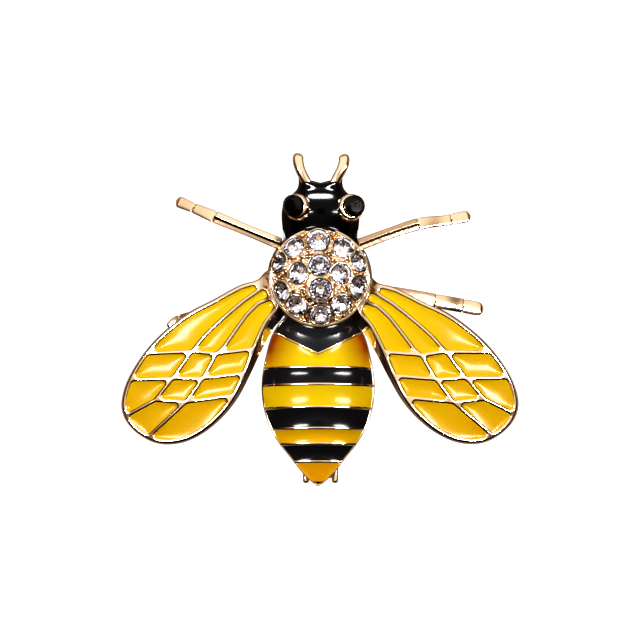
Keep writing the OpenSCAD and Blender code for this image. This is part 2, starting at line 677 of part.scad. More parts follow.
module pin_back() {
    bar_z = back_z - bar_gap - bar_t;
    ear_r = stem_z;
    catch_y = bar_head_y - catch_end - catch_l;
    pivot_r = stem_d * 0.7;
    color(gold) {
        translate([-bar_w / 2, bar_tail_y + 2 * ear_r, bar_z])
            cube([bar_w, bar_head_y - bar_tail_y - 2 * ear_r, bar_t]);
        for (side = [-1, 1])
            translate([side < 0 ? -ear_span / 2 : ear_span / 2 - ear_t, bar_tail_y, 0]) {
                translate([0, ear_r, ear_r])
                    rotate([0, 90, 0]) cylinder(h = ear_t, r = ear_r, $fn = round_fn);
                translate([0, 0, ear_r]) cube([ear_t, 2 * ear_r + bite, bar_z + bar_t - ear_r]);
            }
        translate([(ear_t - ear_span) / 2, bar_tail_y + ear_r, stem_z])
            rotate([0, 90, 0]) cylinder(h = ear_span - ear_t, r = pivot_r, $fn = round_fn);
        translate([0, bar_tail_y + ear_r, stem_z])
            rotate([-90, 0, 0])
                cylinder(h = catch_y - bar_tail_y - ear_r + bite, r = stem_d / 2, $fn = round_fn);
        translate([-bar_w / 2, catch_y, 0]) cube([bar_w, catch_l, bar_z + bar_t / 2]);
    }
}

casting();
head_enamel();
eye(0);  // eye_left
eye(1);  // eye_right
pin_back();
for (i = [0:len(BAND_NODES) - 1])
    band(i);
for (i = [0:len(CELL_ROWS) - 1]) {
    wing_cell(-1, i);
    wing_cell(1, i);
}
for (i = [0:len(STONE_NODES) - 1])
    clear_stone(i);
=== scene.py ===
# Bee brooch on a white table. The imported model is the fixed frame; the cast metal, the enamel and the cut
# stones are made again here, finer than the solids are, in the same places. Lengths are millimetres.
import json
import bpy
import bmesh
import numpy as np
from collections import Counter
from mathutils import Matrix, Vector

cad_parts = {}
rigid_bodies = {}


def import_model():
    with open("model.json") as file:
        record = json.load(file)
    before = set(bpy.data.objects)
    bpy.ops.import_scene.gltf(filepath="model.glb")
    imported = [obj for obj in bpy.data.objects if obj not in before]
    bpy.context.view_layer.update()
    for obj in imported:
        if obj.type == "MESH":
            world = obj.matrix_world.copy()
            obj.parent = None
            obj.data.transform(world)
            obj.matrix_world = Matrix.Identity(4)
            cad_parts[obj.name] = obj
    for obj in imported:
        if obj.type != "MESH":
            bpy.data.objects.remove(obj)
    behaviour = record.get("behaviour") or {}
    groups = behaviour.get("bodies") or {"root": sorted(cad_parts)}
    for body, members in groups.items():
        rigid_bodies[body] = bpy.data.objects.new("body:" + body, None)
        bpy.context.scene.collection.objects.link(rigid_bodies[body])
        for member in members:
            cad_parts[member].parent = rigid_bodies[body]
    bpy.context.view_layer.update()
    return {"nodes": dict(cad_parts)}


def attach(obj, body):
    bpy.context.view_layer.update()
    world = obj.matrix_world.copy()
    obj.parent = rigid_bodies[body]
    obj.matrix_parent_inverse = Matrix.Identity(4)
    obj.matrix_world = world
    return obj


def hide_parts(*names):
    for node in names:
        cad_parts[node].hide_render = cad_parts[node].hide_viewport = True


for old in list(bpy.data.objects):
    bpy.data.objects.remove(old)
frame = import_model()
print("frame loaded:", len(frame["nodes"]), "nodes")


def hexLinear(text):
    # an sRGB hex colour to linear light, channel by channel through the sRGB curve
    v = np.array([int(text[i:i + 2], 16) for i in (1, 3, 5)]) / 255
    v = np.where(v <= 0.04045, v / 12.92, ((v + 0.055) / 1.055) ** 2.4)
    return (*v.tolist(), 1.0)


def blendCurve(points, steps, closed=False):
    # curve through the points: between two of them the cubic whose slope at each is half the way from the
    # point before it to the point after it
    p = np.asarray(points, float)
    n = len(p)
    i = np.arange(n if closed else n - 1)
    pick = (lambda j: p[j % n]) if closed else (lambda j: p[np.clip(j, 0, n - 1)])
    p0, p1, p2, p3 = (pick(i + j)[:, None, :] for j in (-1, 0, 1, 2))
    t = (np.arange(steps) / steps)[None, :, None]
    c = 0.5 * (2 * p1 + (p2 - p0) * t + (2 * p0 - 5 * p1 + 4 * p2 - p3) * t ** 2
               + (3 * p1 - p0 - 3 * p2 + p3) * t ** 3)
    c = c.reshape(-1, p.shape[1])
    return c if closed else np.vstack([c, p[-1]])


def runLength(points):
    # how far along the points each of them lies: the running sum of the steps between them
    return np.concatenate([[0], np.cumsum(np.linalg.norm(np.diff(points, axis=0), axis=1))])


def pickAlong(points, at, wanted):
    # points at the wanted lengths, on straight lines between the given ones, whose own lengths are at
    return np.stack([np.interp(wanted, at, column) for column in points.T], 1)


def evenLoop(loop, spacing, soften):
    # closed loop at even spacing, rounded by a bell-shaped average along it
    ring = np.vstack([loop, loop[:1]])
    at = runLength(ring)
    n = int(np.ceil(at[-1] / spacing))
    out = pickAlong(ring, at, np.arange(n) * at[-1] / n)
    reach = int(np.ceil(3 * soften / spacing))
    k = np.arange(-reach, reach + 1)
    weight = np.exp(-0.5 * (k * spacing / soften) ** 2)
    return sum(w * np.roll(out, j, axis=0) for j, w in zip(k, weight / weight.sum()))


def evenPath(rows, spacing=0.07):
    # the curve through the rows at even steps
    path = blendCurve(rows, 12)
    at = runLength(path[:, :3])
    return pickAlong(path, at, np.linspace(0, at[-1], int(at[-1] / spacing) + 1))


def loopNormals(loop):
    # outward directions of an anticlockwise loop: the way from the point before to the point after, turned
    d = np.roll(loop, -1, axis=0) - np.roll(loop, 1, axis=0)
    n = np.stack([d[:, 1], -d[:, 0]], 1)
    return n / np.linalg.norm(n, axis=1, keepdims=True)


def loopArea(loop):
    # half the sum of x1 y2 - x2 y1 along the loop, negative where it runs clockwise
    x, y = loop.T
    return (x * np.roll(y, -1) - np.roll(x, -1) * y).sum() / 2


def leftOf(path):
    # directions to the left of a path: its slope, turned by a quarter
    d = np.gradient(path, axis=0)
    return np.stack([-d[:, 1], d[:, 0]], 1) / np.linalg.norm(d, axis=1, keepdims=True)


def loopSpine(loop, trim=0.75, count=42):
    # middle line of a long loop: across its longest direction, half way between both sides; each point of
    # the loop gets the spine point level with it, and the ends stop short of the loop's ends
    centre = loop.mean(0)
    _, _, axes = np.linalg.svd(loop - centre, full_matrices=False)
    t, s = (loop - centre) @ axes[0], (loop - centre) @ axes[1]
    t2, s2 = np.roll(t, -1), np.roll(s, -1)
    stations = np.linspace(t.min(), t.max(), count)[1:-1]
    lo, hi = np.minimum(t, t2), np.maximum(t, t2)
    cross = (lo[None] <= stations[:, None]) & (hi[None] > stations[:, None])
    f = (stations[:, None] - t[None]) / np.where(np.abs(t2 - t) < 1e-9, 1e-9, t2 - t)[None]
    at = s[None] + f * (s2 - s)[None]
    top = np.where(cross, at, -1e9).max(1)
    low = np.where(cross, at, 1e9).min(1)
    middle, half = (top + low) / 2, (top - low) / 2
    keep = (stations > t.min() + trim * half) & (stations < t.max() - trim * half)
    if keep.sum() < 2:
        keep = np.abs(stations - np.median(stations)) <= np.ptp(stations) * 0.05
    ends = stations[keep]
    tt = np.clip(t, ends.min(), ends.max())
    ss = np.interp(tt, ends, middle[keep])
    return centre + tt[:, None] * axes[0] + ss[:, None] * axes[1]


def surface(grid, wrapCols=False, away=None, slot=0):
    # one sheet of a piece from rows of points, a face to each square of the grid; where the columns are
    # wrapped, the last joins the first; the sheet is turned over where its normals, summed, look down, or
    # look towards the point or curve given
    grid = np.asarray(grid, float)
    rows, cols = grid.shape[:2]
    points = grid.reshape(-1, 3)
    r = np.arange(rows - 1)[:, None] * cols
    c = np.arange(cols if wrapCols else cols - 1)[None, :]
    c2 = (c + 1) % cols
    faces = np.stack([r + c, r + c2, r + cols + c2, r + cols + c], -1).reshape(-1, 4)
    a, b, c, d = (points[faces[:, k]] for k in range(4))
    normal = np.cross(c - a, d - b)
    middle = (a + b + c + d) / 4
    toward = np.array([0, 0, 1.0]) if away is None else middle - np.asarray(away, float)
    if (normal * toward).sum() < 0:
        faces = faces[:, ::-1]
    return points, faces.tolist(), slot


def addObject(name, data):
    # an object in the scene, at the origin
    thing = bpy.data.objects.new(name, data)
    bpy.context.scene.collection.objects.link(thing)
    return thing


def makePiece(name, surfaces, materials, nodes=("casting",), smoothAngle=40, weld=0.0006):
    # joins the sheets into one mesh in metres, welds their seams and shades it smooth up to the angle
    points, faces, slots, start = [], [], [], 0
    for p, f, k in surfaces:
        points.append(p)
        faces += [[i + start for i in q] for q in f]
        slots += [k] * len(f)
        start += len(p)
    mesh = bpy.data.meshes.new(name)
    mesh.from_pydata((np.vstack(points) * 0.001).tolist(), [], faces)
    for m in materials:
        mesh.materials.append(m)
    mesh.polygons.foreach_set("material_index", slots)
    bm = bmesh.new()
    bm.from_mesh(mesh)
    bmesh.ops.remove_doubles(bm, verts=bm.verts, dist=weld * 0.001)
    bmesh.ops.dissolve_degenerate(bm, edges=bm.edges, dist=1e-8)
    bm.to_mesh(mesh)
    bm.free()
    if smoothAngle:
        mesh.polygons.foreach_set("use_smooth", [True] * len(mesh.polygons))
        mesh.set_sharp_from_angle(angle=np.radians(smoothAngle))
    piece = addObject(name, mesh)
    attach(piece, "root")
    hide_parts(*nodes)


def newMaterial(look):
    # a material with its look's name, sRGB colour and shader inputs
    m = bpy.data.materials.new(look["name"])
    m.use_nodes = True
    tree = m.node_tree
    shader = tree.nodes["Principled BSDF"]
    if "colour" in look:
        shader.inputs["Base Color"].default_value = hexLinear(look["colour"])
    for socket, value in look["inputs"].items():
        shader.inputs[socket].default_value = value
    return m, tree, shader


def addNode(tree, kind, settings=None, links=None, values=None):
    # a node with its settings, its input values and its links: {input: (node, output)}
    n = tree.nodes.new("ShaderNode" + kind)
    for k, v in (settings or {}).items():
        setattr(n, k, v)
    for k, v in (values or {}).items():
        n.inputs[k].default_value = v
    for k, (source, out) in (links or {}).items():
        tree.links.new(source.outputs[out], n.inputs[k])
    return n


# zinc alloy casting plated with pale gold and tumbled until it is mirror-like; in a ring beside the thorax,
# where the wings and body meet its ring, it is rougher in spots, and the spots are painted brown as shade
# there
polishedLook = dict(
    name="paleGoldPlate", colour="#F0DABA", inputs={"Metallic": 1, "Roughness": 0.09}, grain=0.05,
    recess=dict(colour="#5C3818", middle=(-0.1, 4.84), rise=(5.7, 5.9), fall=(6.5, 7.1), spots=(0.42, 0.58),
                least=0.7, rough=0.3, grain=0.9))
# between the stones it is dull, and its colour is darker as painted shade between the stones, with brown
# blots where a noise passes a level
shadedStoneBedLook = dict(
    name="paleGoldPlateDullPaintedShade", colour="#DAC2A6", inputs={"Metallic": 1, "Roughness": 0.28}, grain=1.0,
    brownBlots=dict(colour="#7C5026", scale=1500.0, share=(0.45, 0.53)))
# the first segments of three legs, next to the body: rougher, and darker in colour as painted shade there
legRootLook = dict(
    name="paleGoldPlateLegRootPaintedShade", colour="#C2A284", inputs={"Metallic": 1, "Roughness": 0.28}, grain=1.0)
castSkin = dict(scale=1700.0, detail=2.0, deep=0.00004)


def makeGold(look):
    # plating over the cast skin, whose waves are 0.6 mm long; the second colour's share is a noise past a
    # level for the brown blots, and for the painted shade beside the thorax a ring about it times the spots
    # of the skin
    m, tree, shader = newMaterial(look)
    where = addNode(tree, "TexCoord")
    noise = addNode(tree, "TexNoise", links={"Vector": (where, "Object")},
                    values={"Scale": castSkin["scale"], "Detail": castSkin["detail"]})
    bump = addNode(tree, "Bump", links={"Height": (noise, "Fac")},
                   values={"Strength": look["grain"], "Distance": castSkin["deep"]})
    tree.links.new(bump.outputs["Normal"], shader.inputs["Normal"])
    second = look.get("brownBlots") or look.get("recess")
    if "brownBlots" in look:
        low, high = second["share"]
        blot = addNode(tree, "TexNoise", links={"Vector": (where, "Object")},
                       values={"Scale": second["scale"], "Detail": 1.0})
        share = addNode(tree, "MapRange", links={"Value": (blot, "Fac")},
                        values={"From Min": low, "From Max": high}), "Result"
    # the ring beside the thorax: brown spots of painted shade, rougher and more bumped there
    if "recess" in look:
        x, y = second["middle"]
        flat = addNode(tree, "VectorMath", {"operation": "MULTIPLY_ADD"}, {0: (where, "Object")},
                       {1: (1, 1, 0), 2: (-x / 1000, -y / 1000, 0)})
        far = addNode(tree, "VectorMath", {"operation": "LENGTH"}, {0: (flat, "Vector")})
        edges = []
        for (a, b), low in ((second["fall"], 1.0), (second["rise"], 0.0)):
            values = {"From Min": a / 1000, "From Max": b / 1000, "To Min": low, "To Max": 1 - low}
            edges.append(addNode(tree, "MapRange", links={"Value": (far, "Value")}, values=values))
        beside = addNode(tree, "Math", {"operation": "MULTIPLY"},
                         {0: (edges[0], "Result"), 1: (edges[1], "Result")})
        low, high = second["spots"]
        spots = addNode(tree, "MapRange", links={"Value": (noise, "Fac")},
                        values={"From Min": low, "From Max": high, "To Min": second["least"]})
        share = addNode(tree, "Math", {"operation": "MULTIPLY"},
                        {0: (beside, "Value"), 1: (spots, "Result")}), "Value"
        for low, high, socket in ((look["inputs"]["Roughness"], second["rough"], shader.inputs["Roughness"]),
                                  (look["grain"], second["grain"], bump.inputs["Strength"])):
            level = addNode(tree, "MapRange", links={"Value": share}, values={"To Min": low, "To Max": high})
            tree.links.new(level.outputs["Result"], socket)
    if second:
        colour = addNode(tree, "Mix", {"data_type": "RGBA"}, {"Factor": share},
                         {6: hexLinear(look["colour"]), 7: hexLinear(second["colour"])})
        tree.links.new(colour.outputs[2], shader.inputs["Base Color"])
    return m


yellowInputs = {"Roughness": 0.17, "IOR": 1.55, "Specular IOR Level": 0.1, "Subsurface Weight": 0.2,
                "Subsurface Radius": (1.0, 0.6, 0.1), "Subsurface Scale": 0.0003}
# soft enamel, an epoxy with yellow pigment poured into the cells of the wings: glossy; more orange down the
# bee, painted shade where the wings fall away from the light, and a little browner where it turns from the
# eye, painted shade at the edges of the cells
wingLook = dict(
    name="yellowEpoxyEnamel", inputs=yellowInputs, root="#F2CE02", tip="#EDBE03", rootAt=0.001, tipAt=-0.016,
    deep="#A85E08", turned=(0.1, 0.4), least=0.3, most=0.3)
# the same on the abdomen, more orange towards the tail, painted shade where the arch falls away from the
# light; where it turns from the eye it is browner, painted shade that is strongest beside the thorax and
# wings
bandLook = dict(
    name="yellowEpoxyEnamelPaintedShade", inputs=yellowInputs, root="#F2D406", tip="#FAB806", rootAt=-0.009,
    tipAt=-0.018, deep="#9A4A04", turned=(0.05, 0.3), least=0.1, most=1.0)
# places along the bee, in metres, between which the painted shade beside the thorax comes up
shadeBesideThorax = (-0.007, -0.0035)


def makeYellow(look):
    # the tone runs from root to tip along the bee, its more orange end painted shade; the deep colour,
    # painted shade, has as its share how far the surface turns from the eye times a level that rises beside
    # the thorax
    m, tree, shader = newMaterial(look)
    where = addNode(tree, "TexCoord")
    split = addNode(tree, "SeparateXYZ", links={"Vector": (where, "Object")})
    down = addNode(tree, "MapRange", links={"Value": (split, "Y")},
                   values={"From Min": look["rootAt"], "From Max": look["tipAt"]})
    tone = addNode(tree, "Mix", {"data_type": "RGBA"}, {"Factor": (down, "Result")},
                   {6: hexLinear(look["root"]), 7: hexLinear(look["tip"])})
    turned = addNode(tree, "LayerWeight", values={"Blend": 0.5})
    edge = addNode(tree, "MapRange", links={"Value": (turned, "Facing")},
                   values={"From Min": look["turned"][0], "From Max": look["turned"][1]})
    beside = addNode(tree, "MapRange", links={"Value": (split, "Y")},
                     values={"From Min": shadeBesideThorax[0], "From Max": shadeBesideThorax[1],
                             "To Min": look["least"], "To Max": look["most"]})
    share = addNode(tree, "Math", {"operation": "MULTIPLY"}, {0: (edge, "Result"), 1: (beside, "Result")})
    both = addNode(tree, "Mix", {"data_type": "RGBA"}, {"Factor": (share, "Value"), 6: (tone, 2)},
                   {7: hexLinear(look["deep"])})
    tree.links.new(both.outputs[2], shader.inputs["Base Color"])
    return m


# the same epoxy with black pigment, poured and cured: black with sharp lamp reflections
headBlackLook = dict(name="blackEpoxyEnamel", colour="#09090B",
                     inputs={"Roughness": 0.13, "IOR": 1.5, "Specular IOR Level": 0.15})
# on the bands the black is painted dark grey: a painted reflection of the bright surroundings that the bands
# show where they turn sideways
bandBlackLook = dict(headBlackLook, name="blackEpoxyEnamelPaintedSheen", colour="#252428")
# pressed and machine-cut lead glass: clear, each facet a sharp mirror
crystalLook = dict(name="clearCutCrystal", colour="#F9F8FD",
                   inputs={"Roughness": 0.0, "IOR": 1.57, "Transmission Weight": 1})
# silver foiling on the back of each clear stone, which throws the light back through the table
foilLook = dict(name="silverFoilBack", colour="#F8F7FA", inputs={"Metallic": 1, "Roughness": 0.05})
# a dark matt line round each clear stone, in the gap between stone and collar: painted shadow in the seat
seatShadowLook = dict(name="paintedSeatShadow", colour="#1C120C", inputs={"Roughness": 0.6})
# black cut glass of the eyes: deep black with faint facets
jetLook = dict(name="blackCutGlass", colour="#050506",
               inputs={"Roughness": 0.04, "IOR": 1.55, "Specular IOR Level": 0.3})

gold, castGold, legGold = (makeGold(look) for look in (polishedLook, shadedStoneBedLook, legRootLook))
yellow, bandYellow = makeYellow(wingLook), makeYellow(bandLook)
black, bandBlack, crystal, foil, seatShadow, jet = (newMaterial(look)[0] for look in (
    headBlackLook, bandBlackLook, crystalLook, foilLook, seatShadowLook, jetLook))
print("materials made")


bigDome = dict(radius=62.0, top=7.0, y=-4.0)


def domeHeight(x, y):
    # height of the sphere that both wings' faces follow
    return bigDome["top"] - bigDome["radius"] + np.sqrt(
        bigDome["radius"] ** 2 - x ** 2 - (y - bigDome["y"]) ** 2)


wing = dict(
    length=22.6, width=11.7, thick=1.7, flare=1.05, lip=0.25, rimSpacing=0.09, rimSoften=0.05,
    crestSlope=0.95, crestWidth=0.27, crestSteps=11, pocket=0.62, farthest=3.0, spacing=0.07, soften=0.13,
    # the sag grows with half the width of a cell between two widths; its rows crowd to the edge by the
    # power
    enamelEdge=0.09, enamelSag=0.13, enamelReach=0.01, enamelFoot=0.6, enamelSteps=15,
    enamelWidths=(0.5, 1.0), enamelPower=1.4,
    cells=["a1", "a2", "a3", "b1", "b2", "b3", "c1", "c2", "c3", "d1", "d2"],
    sides={"left": dict(side=-1, sweep=44.5, root=(-6.1, 3.6)),
           "right": dict(side=1, sweep=42.3, root=(5.45, 3.2))},
    # share of the length along, share of the width across, share of the side wall's flare
    rim=[(-0.13, -0.02, 0), (-0.067, 0.121, 0), (0.01, 0.13, 0.05), (0.095, 0.212, 0.08), (0.24, 0.292, 0.1),
         (0.37, 0.37, 0.1), (0.5, 0.405, 0.1), (0.63, 0.408, 0.1), (0.76, 0.368, 0.1), (0.87, 0.297, 0.1),
         (0.955, 0.185, 0.1), (0.993, 0.04, 0.1), (0.993, -0.14, 0.1), (0.953, -0.335, 0.12),
         (0.865, -0.483, 0.16), (0.75, -0.56, 0.2), (0.62, -0.575, 0.26), (0.5, -0.537, 0.36),
         (0.37, -0.442, 0.52), (0.25, -0.335, 0.78), (0.13, -0.247, 1), (0.03, -0.21, 1)])


def topLoop(nodeName, upward=0.3):
    # outline of the upper face of a CAD node, seen from above: the border edges of its upward triangles,
    # walked from one to the next; the walk is cut into loops that touch no point twice, and the one of
    # largest area is the outline
    mesh = frame["nodes"][nodeName].data
    co = np.empty(len(mesh.vertices) * 3)
    mesh.vertices.foreach_get("co", co)
    mesh.calc_loop_triangles()
    tri = np.empty(len(mesh.loop_triangles) * 3, int)
    mesh.loop_triangles.foreach_get("vertices", tri)
    points, same = np.unique(np.round(co.reshape(-1, 3) * 1000, 3), axis=0, return_inverse=True)
    tri = same.ravel()[tri].reshape(-1, 3)
    n = np.cross(points[tri[:, 1]] - points[tri[:, 0]], points[tri[:, 2]] - points[tri[:, 0]])
    up = tri[n[:, 2] > upward * np.linalg.norm(n, axis=1)]
    edges = Counter(map(tuple, np.vstack([up[:, [0, 1]], up[:, [1, 2]], up[:, [2, 0]]]).tolist()))
    after = {}
    for (a, b), many in edges.items():
        after.setdefault(a, []).extend([b] * (many - edges[(b, a)]))
    loops = []
    for start in after:
        path = [start]
        while after.get(path[-1]):
            b = after[path[-1]].pop()
            if b in path:
                loops.append(path[path.index(b):])
                path = path[:path.index(b)]
            path.append(b)
    return max((points[k][:, :2] for k in loops), key=loopArea)


def wingOutline(spec):
    # the rim curve in the wing's own directions, which runs clockwise, turned by the sweep; with the foot of
    # the side wall, moved outwards by the flare
    w = wing
    c = blendCurve(w["rim"], 10, closed=True) * (w["length"], w["width"], 1)
    out = -loopNormals(c[:, :2])
    reach = np.clip(c[:, 2:], 0, None) * w["flare"] * (w["thick"] - w["lip"]) / w["thick"]
    q = np.radians(spec["sweep"])
    turned = []
    for p in (c[:, :2], c[:, :2] + out * reach):
        x = spec["root"][0] + spec["side"] * (p[:, 0] * np.cos(q) + p[:, 1] * np.sin(q))
        y = spec["root"][1] - p[:, 0] * np.sin(q) + p[:, 1] * np.cos(q)
        turned.append(np.stack([x, y], 1))
    both = np.hstack(turned)
    both = both if loopArea(both[:, :2]) > 0 else both[::-1]
    both = evenLoop(both, w["rimSpacing"], w["rimSoften"])
    return both[:, :2], both[:, 2:]


def middleReach(loop, normals, others):
    # distance from each point to the middle line of the metal: the radius of the largest circle that
    # touches the loop there and reaches no point of the others
    v = others[None] - loop[:, None]
    along = (v * normals[:, None]).sum(2)
    r = np.where(along > 1e-5, (v ** 2).sum(2) / (2 * np.maximum(along, 1e-5)), wing["farthest"])
    return np.minimum(r.min(1), wing["farthest"])


def sheetRow(xy, drop):
    # the points at that depth under the sphere of the wings' faces
    return np.column_stack([xy, domeHeight(*xy.T) - drop])


def crestRows(loop, normals, reach):
    # strip from the middle line of the metal down to the loop: a parabola over the crest's width, level on
    # top and falling to the loop at the crest's slope
    rows = [sheetRow(loop + normals * reach[:, None], 0)]
    wide = np.minimum(reach, wing["crestWidth"])
    for s in np.linspace(1, 0, wing["crestSteps"]):
        fall = wing["crestSlope"] * wide / 2 * (1 - s) ** 2
        rows.append(sheetRow(loop + normals * (wide * s)[:, None], fall))
    return rows


def makeWing(label):
    # metal: crests round each cell and along the rim, pockets, side wall and flat back; enamel: from each
    # loop to its spine it sinks by 1 - (1 - v)^2, as a poured fill dries, and its edge climbs a little on
    # the metal
    w = wing
    outline, foot = wingOutline(w["sides"][label])
    loops = [evenLoop(topLoop(f"cell_{label}_{c}"), w["spacing"], w["soften"]) for c in w["cells"]]
    sheets = []
    for k, loop in enumerate(loops):
        normals = loopNormals(loop)
        others = np.vstack([outline] + loops[:k] + loops[k + 1:])
        rows = crestRows(loop, normals, middleReach(loop, normals, others))
        rows += [sheetRow(loop, w["pocket"]), sheetRow(loopSpine(loop), w["pocket"])]
        sheets.append(surface(rows, wrapCols=True))
    inward = -loopNormals(outline)
    rows = crestRows(outline, inward, middleReach(outline, inward, np.vstack(loops + [outline])))
    rows += [sheetRow(outline, w["lip"]), sheetRow(foot, w["thick"])]
    spine = loopSpine(outline)
    sheets.append(surface(rows, wrapCols=True, away=(*spine.mean(0), 0)))
    sheets.append(surface([sheetRow(foot, w["thick"]), sheetRow(spine, w["thick"])], wrapCols=True,
                          away=(0, 0, 1000)))
    makePiece(f"{label}WingMetal", sheets, [gold])
    for c, loop in zip(w["cells"], loops):
        spine = loopSpine(loop)
        loop = loop + loopNormals(loop) * w["enamelReach"]
        half = np.linalg.norm(spine - loop, axis=1).max()
        deep = w["enamelSag"] * np.clip(half, *w["enamelWidths"])
        rows = [sheetRow(spine, w["enamelFoot"]), sheetRow(loop, w["enamelFoot"])]
        for v in np.linspace(0, 1, w["enamelSteps"]) ** w["enamelPower"]:
            rows.append(sheetRow(loop + (spine - loop) * v, w["enamelEdge"] + deep * (1 - (1 - v) ** 2)))
        makePiece(f"{label}WingEnamel_{c}", [surface(rows, wrapCols=True)], [yellow],
                  nodes=[f"cell_{label}_{c}"], smoothAngle=60)


for label in wing["sides"]:
    makeWing(label)
print("wings made")


flangeZ, backZ = 4.3, 3.4
abdomen = dict(
    length=20.65, width=12.84, height=3.6, top=1.55, x=-0.28, axis=4.1405, edge=0.07, lean=5.0, slope=0.48,
    ridge=[0.24] + 6 * [0.32], crestSlope=0.95, edgeSink=0.06, reach=0.01, skirt=0.6, sidePower=6,
    across=61, bandRows=21, edgeSteps=140,
    # the collar's highest place, and the shares of the length where the tail's enamel ends and the metal's
    # crescent begins
    collarTop=1.2, tailEnd=0.986, crescent=0.98, crescentSink=0.03, crescentFall=0.12,
    sags=[0.35, 0.16, 0.11, 0.13, 0.17, 0.17, 0.2, 0.1], lowest=[0.45] + 7 * [0.5], rise=[1.0] + 7 * [2.0],
    # share of the length, share of half the width, share of the height
    shape=[(0, 0.4, 0.4), (0.03, 0.47, 0.44), (0.094, 0.68, 0.6), (0.155, 0.8, 0.74), (0.21, 0.868, 0.83),
           (0.277, 0.922, 0.91), (0.343, 0.965, 0.965), (0.42, 0.998, 1), (0.5, 0.995, 1),
           (0.587, 0.95, 0.955), (0.675, 0.852, 0.86), (0.767, 0.687, 0.715), (0.847, 0.482, 0.55),
           (0.919, 0.3, 0.41), (0.968, 0.15, 0.3), (1, 0.02, 0.2)],
    ridges=[0.264, 0.352, 0.449, 0.576, 0.693, 0.778, 0.876],
    bands=["band_black_collar", "band_yellow_1", "band_black_1", "band_yellow_2",
           "band_black_2", "band_yellow_3", "band_black_3", "band_yellow_tail"],
    # edge, ledge and flange: distance outwards, the height it is counted from, height above that
    profile=[(-0.13, "arch", -0.6), (-0.08, "arch", -0.12), (-0.06, "arch", -0.05), (-0.03, "arch", -0.02),
             (0, "arch", -0.05), (0.015, "arch", -0.12), (0.03, "flange", 0.02), (0.06, "flange", 0.0),
             (0.09, "flange", -0.03), (0.1, "flange", -0.08), (0.1, "back", 0.05), (0.05, "back", 0.0)])
abdomenCurve = blendCurve(abdomen["shape"], 8)


def abdomenHalf(y):
    # half the width at a place along the bee, read off the shape's curve
    share = (abdomen["top"] - y) / abdomen["length"]
    return np.interp(share, abdomenCurve[:, 0], abdomenCurve[:, 1]) * abdomen["width"] / 2


def abdomenArch(x, y):
    # height of the arch: a circle about a line under the flange, its radius set by the place along the body
    share = (abdomen["top"] - y) / abdomen["length"]
    r = abdomen["axis"] + np.interp(share, abdomenCurve[:, 0], abdomenCurve[:, 2]) * abdomen["height"]
    return flangeZ - abdomen["axis"] + np.sqrt(np.maximum(r ** 2 - (x - abdomen["x"]) ** 2, 0.01))


# under is the radius at which the enamel of head and abdomen ends beneath the ring
thorax = dict(
    x=-0.1, y=4.84, ringRadius=5.75, footRadius=6.05, under=5.5, top=6.6, ring=0.32, ringWide=0.42,
    ringHeight=0.3, ringEdge=0.12, domeRadius=7.0, stone=2.5, seatGap=0.05, stoneLift=0.02, collar=0.15,
    collarGap=0.09, collarHeight=0.14, bead=0.5, beadLift=0.06, grain=0.15, grains=700, grainGap=0.3,
    ringRise=0.13, domeGrid=(100, 240), spin=17)


def underRing(x):
    # half the chord, along the bee, of the circle under the ring where the enamel ends
    return np.sqrt(np.maximum(thorax["under"] ** 2 - (x - thorax["x"]) ** 2, 0))


def ridgePlace(i, u, offset, inset):
    # points of ridge i, u from -1 to 1 across the body: the V of the collar for 0, else where a plane that
    # leans to the head cuts the arch; the place along the body and the half width are found in a few rounds
    a = abdomen
    y0 = np.full_like(u, a["top"] - a["ridges"][min(max(i, 0), 6)] * a["length"])
    y = y0
    for _ in range(10):
        x = a["x"] + u * np.maximum(abdomenHalf(y) - inset, 0.02)
        if i == 0:
            y = y0 + offset + np.abs(x - a["x"]) * a["slope"]
        elif i < 0:
            y = np.minimum(thorax["y"] - underRing(x), a["collarTop"])
        elif i > 6:
            y = np.full_like(u, a["top"] - a["tailEnd"] * a["length"])
        else:
            y = y0 + offset + (abdomenArch(x, y) - flangeZ) * np.tan(np.radians(a["lean"]))
    return y


def abdomenRow(u, y, inset, sink):
    # points across the arch at the places y, that far in from its sides and that far under it
    x = abdomen["x"] + u * np.maximum(abdomenHalf(y) - inset, 0.02)
    return np.column_stack([x, y, abdomenArch(x, y) - sink])


